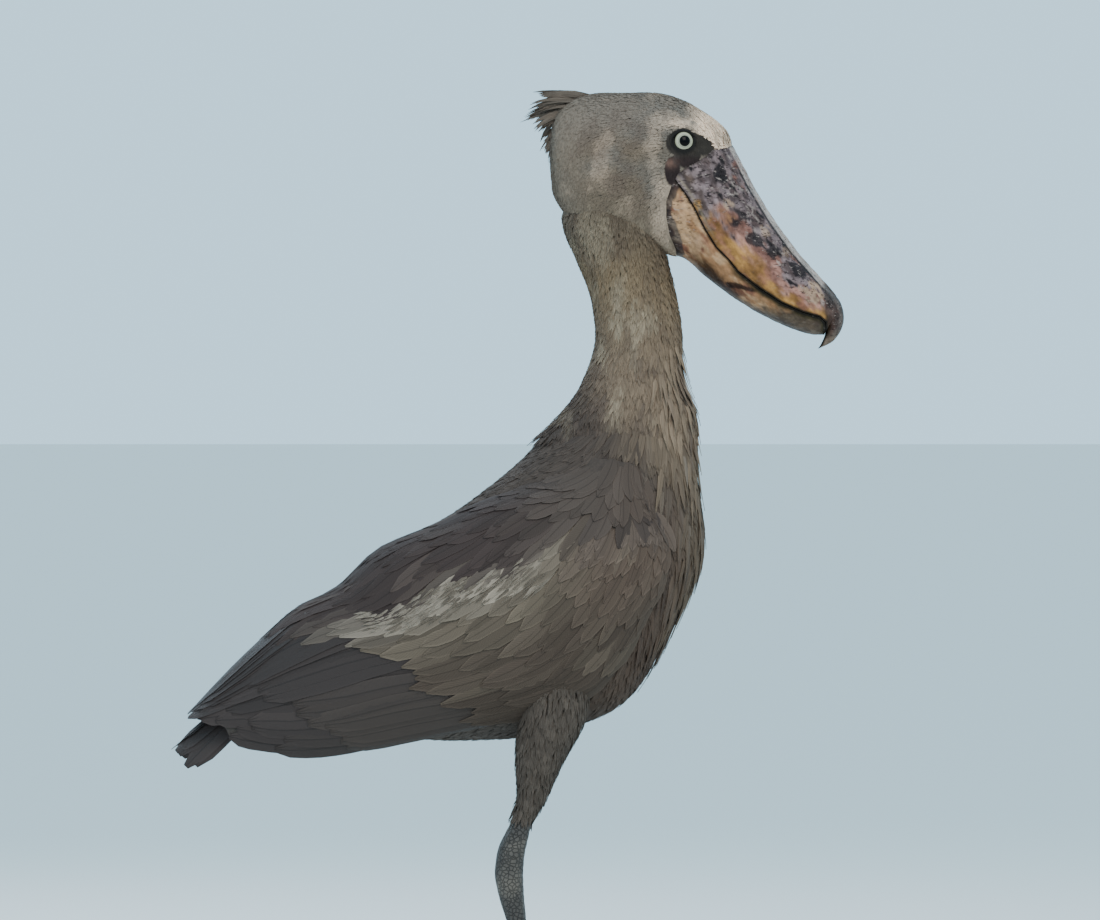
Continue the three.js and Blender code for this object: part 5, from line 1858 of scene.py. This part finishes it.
def flight_colour(p: Array) -> Array:
    """The flight feathers: dark slate, a little browner low down."""
    return mix("flight", "side", smooth(500, 440, p[..., 2]) * smooth(-250, -100, p[..., 0]) * 0.5)


def frayed_colour(p: Array) -> Array:
    """The pale frayed feathers below the scapulars."""
    return mix("frayed", "covert", smooth(-0.6, 0.4, cloud(p, 14, 73)) * 0.7)


@dataclass
class Coat:
    """Every feather, piece by piece."""

    seed: int = 7
    lock_plumes: int = 16

    def head(self, side: int) -> Shell:
        """The short soft feathers of one half of the head."""

        def keep(p: Array, a: Array, b: Array) -> Array:
            """Off the bill, the bare face and the neck, with the tips too off the bare face."""
            tips = p + unit(lie(p, p)) * length(p)[:, None] * 0.8
            bare = (np.minimum(face_distance(p), face_distance(tips)) < 1.04) & (np.abs(p[:, 1]) > 24)
            return (p[:, 1] * side > 0) & (beyond_bill_base(p) < -0.8) & ~bare & ~NECK_FORM.holds(p, 7)

        def length(p: Array) -> Array:
            """Shortest at the bill and the bare face, longest on the nape."""
            near = smooth(1.0, 2.1, face_distance(p)) * smooth(0, -24, beyond_bill_base(p))
            low = smooth(1030, 995, p[..., 2]) + smooth(110, 66, p[..., 0])
            hem = smooth(1038, 1014, p[..., 2]) * smooth(150, 105, p[..., 0])
            return 5.5 + 6.0 * near + 8.0 * np.clip(low, 0, 1) * near + 9.0 * hem

        def lie(p: Array, along: Array) -> Array:
            """Backwards from the bill, and more downwards on the throat."""
            throat = np.clip(smooth(1040, 1000, p[..., 2]) + smooth(110, 70, p[..., 0]), 0, 1)[..., None]
            front = smooth(200, 225, p[..., 0])[..., None] * smooth(1085, 1100, p[..., 2])[..., None]
            back = np.array([-0.85, 0, -0.5]) + np.array([0, 0, 1.1]) * front
            return back * (1 - throat) + np.array([-0.25, 0, -0.95]) * throat

        patch = Patch(
            SKULL_FORM, (0.03, 8.6), (0, 360), DOWN, steady(2.05), length,
            lambda p: 1.1 + 0.06 * length(p), lie, head_colour, keep, 0.18,
            lambda p: (
                1.8 * (1 + cloud(p, 34, 19, 2)) * smooth(0, -30, beyond_bill_base(p))
                * smooth(1, 1.9, face_distance(p))
            ),
        )
        return patch.build(np.random.default_rng(self.seed + side))

    def neck(self) -> Shell:
        """The neck's feathers, longer and looser lower down."""

        def keep(p: Array, a: Array, b: Array) -> Array:
            """Outside the head and the trunk."""
            return ~SKULL_FORM.holds(p, 6) & ~TRUNK_FORM.holds(p, 6)

        patch = Patch(
            NECK_FORM, (0.0, 7.9), (0, 360), NECK_KIND, lambda p: 4.0 - 1.3 * smooth(860, 990, p[..., 2]),
            lambda p: 27 - 13 * smooth(820, 990, p[..., 2]),
            lambda p: 3.2 - 1.5 * smooth(840, 990, p[..., 2]),
            toward(-0.12, 0, -1), neck_colour, keep, 0.25,
            lambda p: (
                1.4 * cloud(p, 40, 20, 2) + 1.6 * bell(p[..., 2] - 1008, 20) * smooth(125, 85, p[..., 0])
            ),
        )
        return patch.build(np.random.default_rng(self.seed + 10))

    def off_wing(self, a: Array, b: Array) -> Array:
        """Tells which roots on the trunk aren't covered by a folded wing."""
        down = np.abs((b - 90 + 180) % 360 - 180)
        row = between(WING, a)
        return (a < 1.0) | (down < row[..., 0] + 9) | (down > row[..., 1] - 12)

    def trunk(self) -> Shell:
        """The trunk's feathers, wherever no wing covers them."""

        def lie(p: Array, along: Array) -> Array:
            """Straight down on the breast, backwards along the back and the belly."""
            rear = smooth(170, 40, p[..., 0])[..., None]
            return np.array([-0.08, 0, -1]) * (1 - rear) + np.array([-0.85, 0, -0.55]) * rear

        def keep(p: Array, a: Array, b: Array) -> Array:
            """Off the wings and outside the neck."""
            return self.off_wing(a, b) & ~NECK_FORM.holds(p, 6)

        patch = Patch(
            TRUNK_FORM, (0.02, 6.95), (0, 360), BODY_KIND, steady(6.4),
            lambda p: 30 + 12 * smooth(640, 720, p[..., 2]), lambda p: 4.6 + 2.2 * smooth(120, 20, p[..., 0]),
            lie, trunk_colour, keep, 0.25,
        )
        return patch.build(np.random.default_rng(self.seed + 20))

    def plumes(self) -> Shell:
        """The long loose plumes that hang on the front of the neck and breast."""
        upper = Patch(
            NECK_FORM, (0.2, 3.6), (205, 335), replace(PLUME_KIND, tip=4.5), steady(11.5), steady(46),
            steady(3.6), toward(-0.02, 0, -1), lambda p: neck_colour(p) * 1.12, lambda p, a, b: a > -1, 0.3,
        )
        lower = Patch(
            TRUNK_FORM, (0.1, 2.9), (212, 328), PLUME_KIND, steady(14.5), steady(74), steady(5.0),
            toward(-0.1, 0, -1), lambda p: trunk_colour(p) * 1.1, lambda p, a, b: ~NECK_FORM.holds(p, 8),
            0.35,
        )
        rng = np.random.default_rng(self.seed + 30)
        return join_shells([upper.build(rng), lower.build(rng)])

    def thighs(self) -> Shell:
        """The soft feathers of both thighs."""
        rng = np.random.default_rng(self.seed + 40)
        shells = []
        for side in SIDE_NAMES:
            patch = Patch(
                thigh_limb(side), (0.2, 3.95), (0, 360), SOFT_KIND, steady(4.6), steady(22), steady(2.6),
                toward(-0.12, 0, -1), lambda p: dye("thigh") * (1 + 0.2 * cloud(p, 14, 7))[..., None],
                lambda p, a, b: ~TRUNK_FORM.holds(p, 8), 0.25,
            )
            shells.append(patch.build(rng))
        return join_shells(shells)

    def crest(self) -> Shell:
        """The loose locks at the back of the head. A plume starts near its lock's root and ends near the
        lock's tip, on a curve with one middle point lifted backwards and up by the lock's arch."""
        locks = np.array([
            (92, 5, 1147, 39, 7, 1151, 7), (88, -6, 1146, 43, -9, 1148, 6), (82, 9, 1143, 32, 12, 1138, 8),
            (80, -9, 1142, 33, -13, 1134, 7), (76, 1, 1138, 26, 2, 1122, 9), (72, 9, 1132, 36, 13, 1116, 6),
            (70, -9, 1130, 34, -13, 1110, 6), (65, 3, 1120, 42, 4, 1098, 4), (62, -4, 1110, 45, -6, 1084, 3),
        ], float)
        rng = np.random.default_rng(self.seed + 50)
        which = np.repeat(np.arange(len(locks)), self.lock_plumes)
        count = len(which)
        root = locks[which, :3] + rng.normal(0, 1, (count, 3)) * (6, 3.5, 2.0)
        tip = locks[which, 3:6] + rng.normal(0, 1, (count, 3)) * (5, 2.0, 2.2)
        bow = (root + tip) / 2 + locks[which, 6:] * (-0.4, 0, 1) * (1 + 0.3 * rng.uniform(-1, 1, (count, 1)))
        t = np.linspace(0, 1, 7)[None, :, None]
        line = root[:, None] * (1 - t) ** 2 + 2 * bow[:, None] * t * (1 - t) + tip[:, None] * t**2
        lift = unit(np.stack([np.full(count, -0.1), np.sign(tip[:, 1]), rng.normal(0.3, 0.4, count)], -1))
        normals = np.repeat(lift[:, None], 7, axis=1)
        kind = VaneKind(
            Outline.LANCE, rows=7, thick=0.4, root=0.0, tip=0.0, camber=0.15, ragged=0.3, edge=0.2
        )
        tone = 1 + 0.2 * rng.uniform(-1, 1, (count, 1))
        uv = SKULL_FORM.unwrap(np.full(count, 0.7), 60 + 60 * rng.uniform(0, 1, count))
        half = 2.4 + 0.8 * rng.uniform(-1, 1, count)
        return vane_shell(line, normals, kind, half, mix("shoulder", "nape", 0.5) * tone, uv, rng)

    def coverts(self, side: int) -> Shell:
        """The small and middle feathers of one wing: coverts, scapulars and the pale frayed band."""
        rng = np.random.default_rng(self.seed + 60 + side)
        rows = [
            FeatherRow(a, scapular_edge(a) - 0.1, 0.985, count, length, half, kind, wing_colour)
            for a, count, length, half, kind in (
                (4.1, 20, 120, 12, COVERT_KIND), (3.7, 19, 104, 11.5, COVERT_KIND),
                (3.35, 19, 90, 11, COVERT_KIND), (3.0, 19, 80, 10.5, COVERT_KIND),
                (2.7, 19, 70, 10, COVERT_KIND), (2.45, 19, 62, 9.5, COVERT_KIND),
                (2.2, 19, 56, 9, SMALL_KIND), (1.98, 18, 52, 8.5, SMALL_KIND),
                (1.78, 17, 48, 8.5, SMALL_KIND), (1.6, 16, 44, 8, SMALL_KIND), (1.42, 15, 42, 8, SMALL_KIND),
                (1.26, 14, 40, 8, SMALL_KIND), (1.1, 13, 38, 8, SMALL_KIND), (0.96, 12, 36, 8, SMALL_KIND),
            )
        ]
        rows += [
            FeatherRow(a, 0.01, scapular_edge(a), count, length, half, DARK_KIND, wing_colour)
            for a, count, length, half in (
                (4.3, 7, 150, 13), (3.9, 8, 142, 13), (3.5, 9, 130, 13), (3.15, 9, 120, 13),
                (2.8, 10, 108, 12.5), (2.5, 10, 98, 12), (2.2, 11, 88, 12), (1.95, 12, 78, 11.5),
                (1.7, 13, 70, 11), (1.45, 13, 62, 10.5), (1.25, 13, 54, 10), (1.05, 12, 50, 10),
                (0.9, 11, 46, 9.5),
            )
        ]
        rows += [
            FeatherRow(
                a, scapular_edge(a) - 0.02, scapular_edge(a) + 0.08, 15, 32, 2.3, FRAY_KIND, frayed_colour
            )
            for a in (2.8, 3.0, 3.2, 3.4, 3.6, 3.8, 4.0, 4.2, 4.4, 4.6, 4.8)
        ]
        return join_shells([row.build(WINGS[side], side, rng) for row in rows])

    def flight(self, side: int) -> Shell:
        """The long feathers of one wing: primaries, secondaries and tertials."""
        rng = np.random.default_rng(self.seed + 80 + side)
        rows = [
            FeatherRow(7.3, 0.1, 0.96, 10, 112, 12, BLADE_KIND, flight_colour, 0.05),
            FeatherRow(6.2, 0.2, 0.97, 11, 152, 13, BLADE_KIND, flight_colour, 0.05),
            FeatherRow(5.0, 0.36, 0.985, 15, 196, 13, BLADE_KIND, flight_colour, 0.05),
            FeatherRow(6.4, 0.02, 0.4, 7, 150, 13, BLADE_KIND, flight_colour, 0.05),
            FeatherRow(5.0, 0.02, 0.4, 8, 206, 15, BLADE_KIND, flight_colour, 0.05),
        ]
        return join_shells([row.build(WINGS[side], side, rng) for row in rows])

    def tail(self) -> Shell:
        """The tail's long feathers and the shorter ones over their roots."""
        rng = np.random.default_rng(self.seed + 90)
        rows = [
            FeatherRow(0.3, -0.92, 0.92, 12, 176, 13.5, replace(BLADE_KIND, tilt=0), flight_colour, 0.03),
            FeatherRow(0.2, -0.8, 0.8, 9, 92, 9, replace(COVERT_KIND, tilt=0), flight_colour),
            FeatherRow(0.1, -0.8, 0.8, 9, 80, 9, replace(COVERT_KIND, tilt=0), flight_colour),
            FeatherRow(0.01, -0.8, 0.8, 8, 66, 9, replace(COVERT_KIND, tilt=0), flight_colour),
        ]
        return join_shells([row.build(TAIL_FAN, LEFT, rng) for row in rows])

    def build(self) -> None:
        """Builds every piece of the coat."""
        down, body, flight = DOWN_FINISH.material(), BODY_FINISH.material(), FLIGHT_FINISH.material()
        pieces = [
            ("neck_feathers", self.neck(), body, "plumage"),
            ("trunk_feathers", self.trunk(), body, "plumage"),
            ("breast_plumes", self.plumes(), body, "plumage"),
            ("thigh_feathers", self.thighs(), body, "plumage"),
            ("crest_plumes", self.crest(), body, "plumage"),
            ("tail_feathers", self.tail(), flight, "flight_feathers"),
        ]
        for side, name in SIDE_NAMES.items():
            pieces += [
                (f"head_down_{name}", self.head(side), down, "plumage"),
                (f"wing_coverts_{name}", self.coverts(side), body, "plumage"),
                (f"wing_flight_{name}", self.flight(side), flight, "flight_feathers"),
            ]
        for name, shell, material, slot in pieces:
            place(make_object(name, outward(shell), material), slot)


@dataclass
class Studio:
    """The pale floor, the even sky, the soft lights and the camera."""

    distance: float = 9.0
    middle_x: float = 0.047
    eye_height: float = 0.765
    aim_height: float = 0.730
    frame_width: float = 1.265

    def floor(self) -> None:
        """A wide level floor under the feet."""
        mesh = bpy.data.meshes.new("floor")
        corners = [(-400, -400, 0), (400, -400, 0), (400, 400, 0), (-400, 400, 0)]
        mesh.from_pydata(corners, [], [(0, 1, 2, 3)])
        mesh.materials.append(FLOOR_FINISH.material())
        linked("floor", mesh)

    def light(
        self, name: str, at: tuple[float, float, float], size: float, power: float, colour: str
    ) -> None:
        """A square soft light that faces the middle of the bird."""
        lamp = bpy.data.lights.new(name, "AREA")
        lamp.size = size
        lamp.energy = power
        lamp.color = linear(colour)
        made = bpy.data.objects.new(name, lamp)
        made.location = at
        toward_bird = Vector((0.0, 0.0, 0.65)) - Vector(at)
        made.rotation_euler = toward_bird.to_track_quat("-Z", "Y").to_euler()
        bpy.context.scene.collection.objects.link(made)

    def build(self) -> None:
        """Builds the floor, the lights and the camera."""
        self.floor()
        world = bpy.data.worlds.new("sky")
        world.use_nodes = True
        world.node_tree.nodes["Background"].inputs[0].default_value = (*linear("b2d6ea"), 1)
        world.node_tree.nodes["Background"].inputs[1].default_value = 1.75
        bpy.context.scene.world = world
        self.light("key", (1.2, -3.4, 3.6), 2.6, 150, "fff6ea")
        self.light("fill", (-3.0, -2.6, 1.6), 2.6, 35, "e8f0ff")
        self.light("rim", (-1.2, 3.0, 3.2), 2.0, 70, "f4f7ff")
        camera = bpy.data.cameras.new("camera")
        camera.sensor_width = 36.0
        camera.lens = 36.0 * self.distance / self.frame_width
        camera.clip_end = 1000.0
        made = bpy.data.objects.new("camera", camera)
        made.location = (self.middle_x, -self.distance, self.eye_height)
        aim = Vector((self.middle_x, 0.0, self.aim_height)) - made.location
        made.rotation_euler = aim.to_track_quat("-Z", "Y").to_euler()
        bpy.context.scene.collection.objects.link(made)
        bpy.context.scene.camera = made


def main() -> None:
    """Builds the bird and its studio."""
    logging.basicConfig(level=logging.INFO, format="%(name)s %(message)s")
    Skin().build()
    Bill().build()
    Eyes().build()
    Legs().build()
    Coat().build()
    Studio().build()


if __name__ == "__main__":
    main()
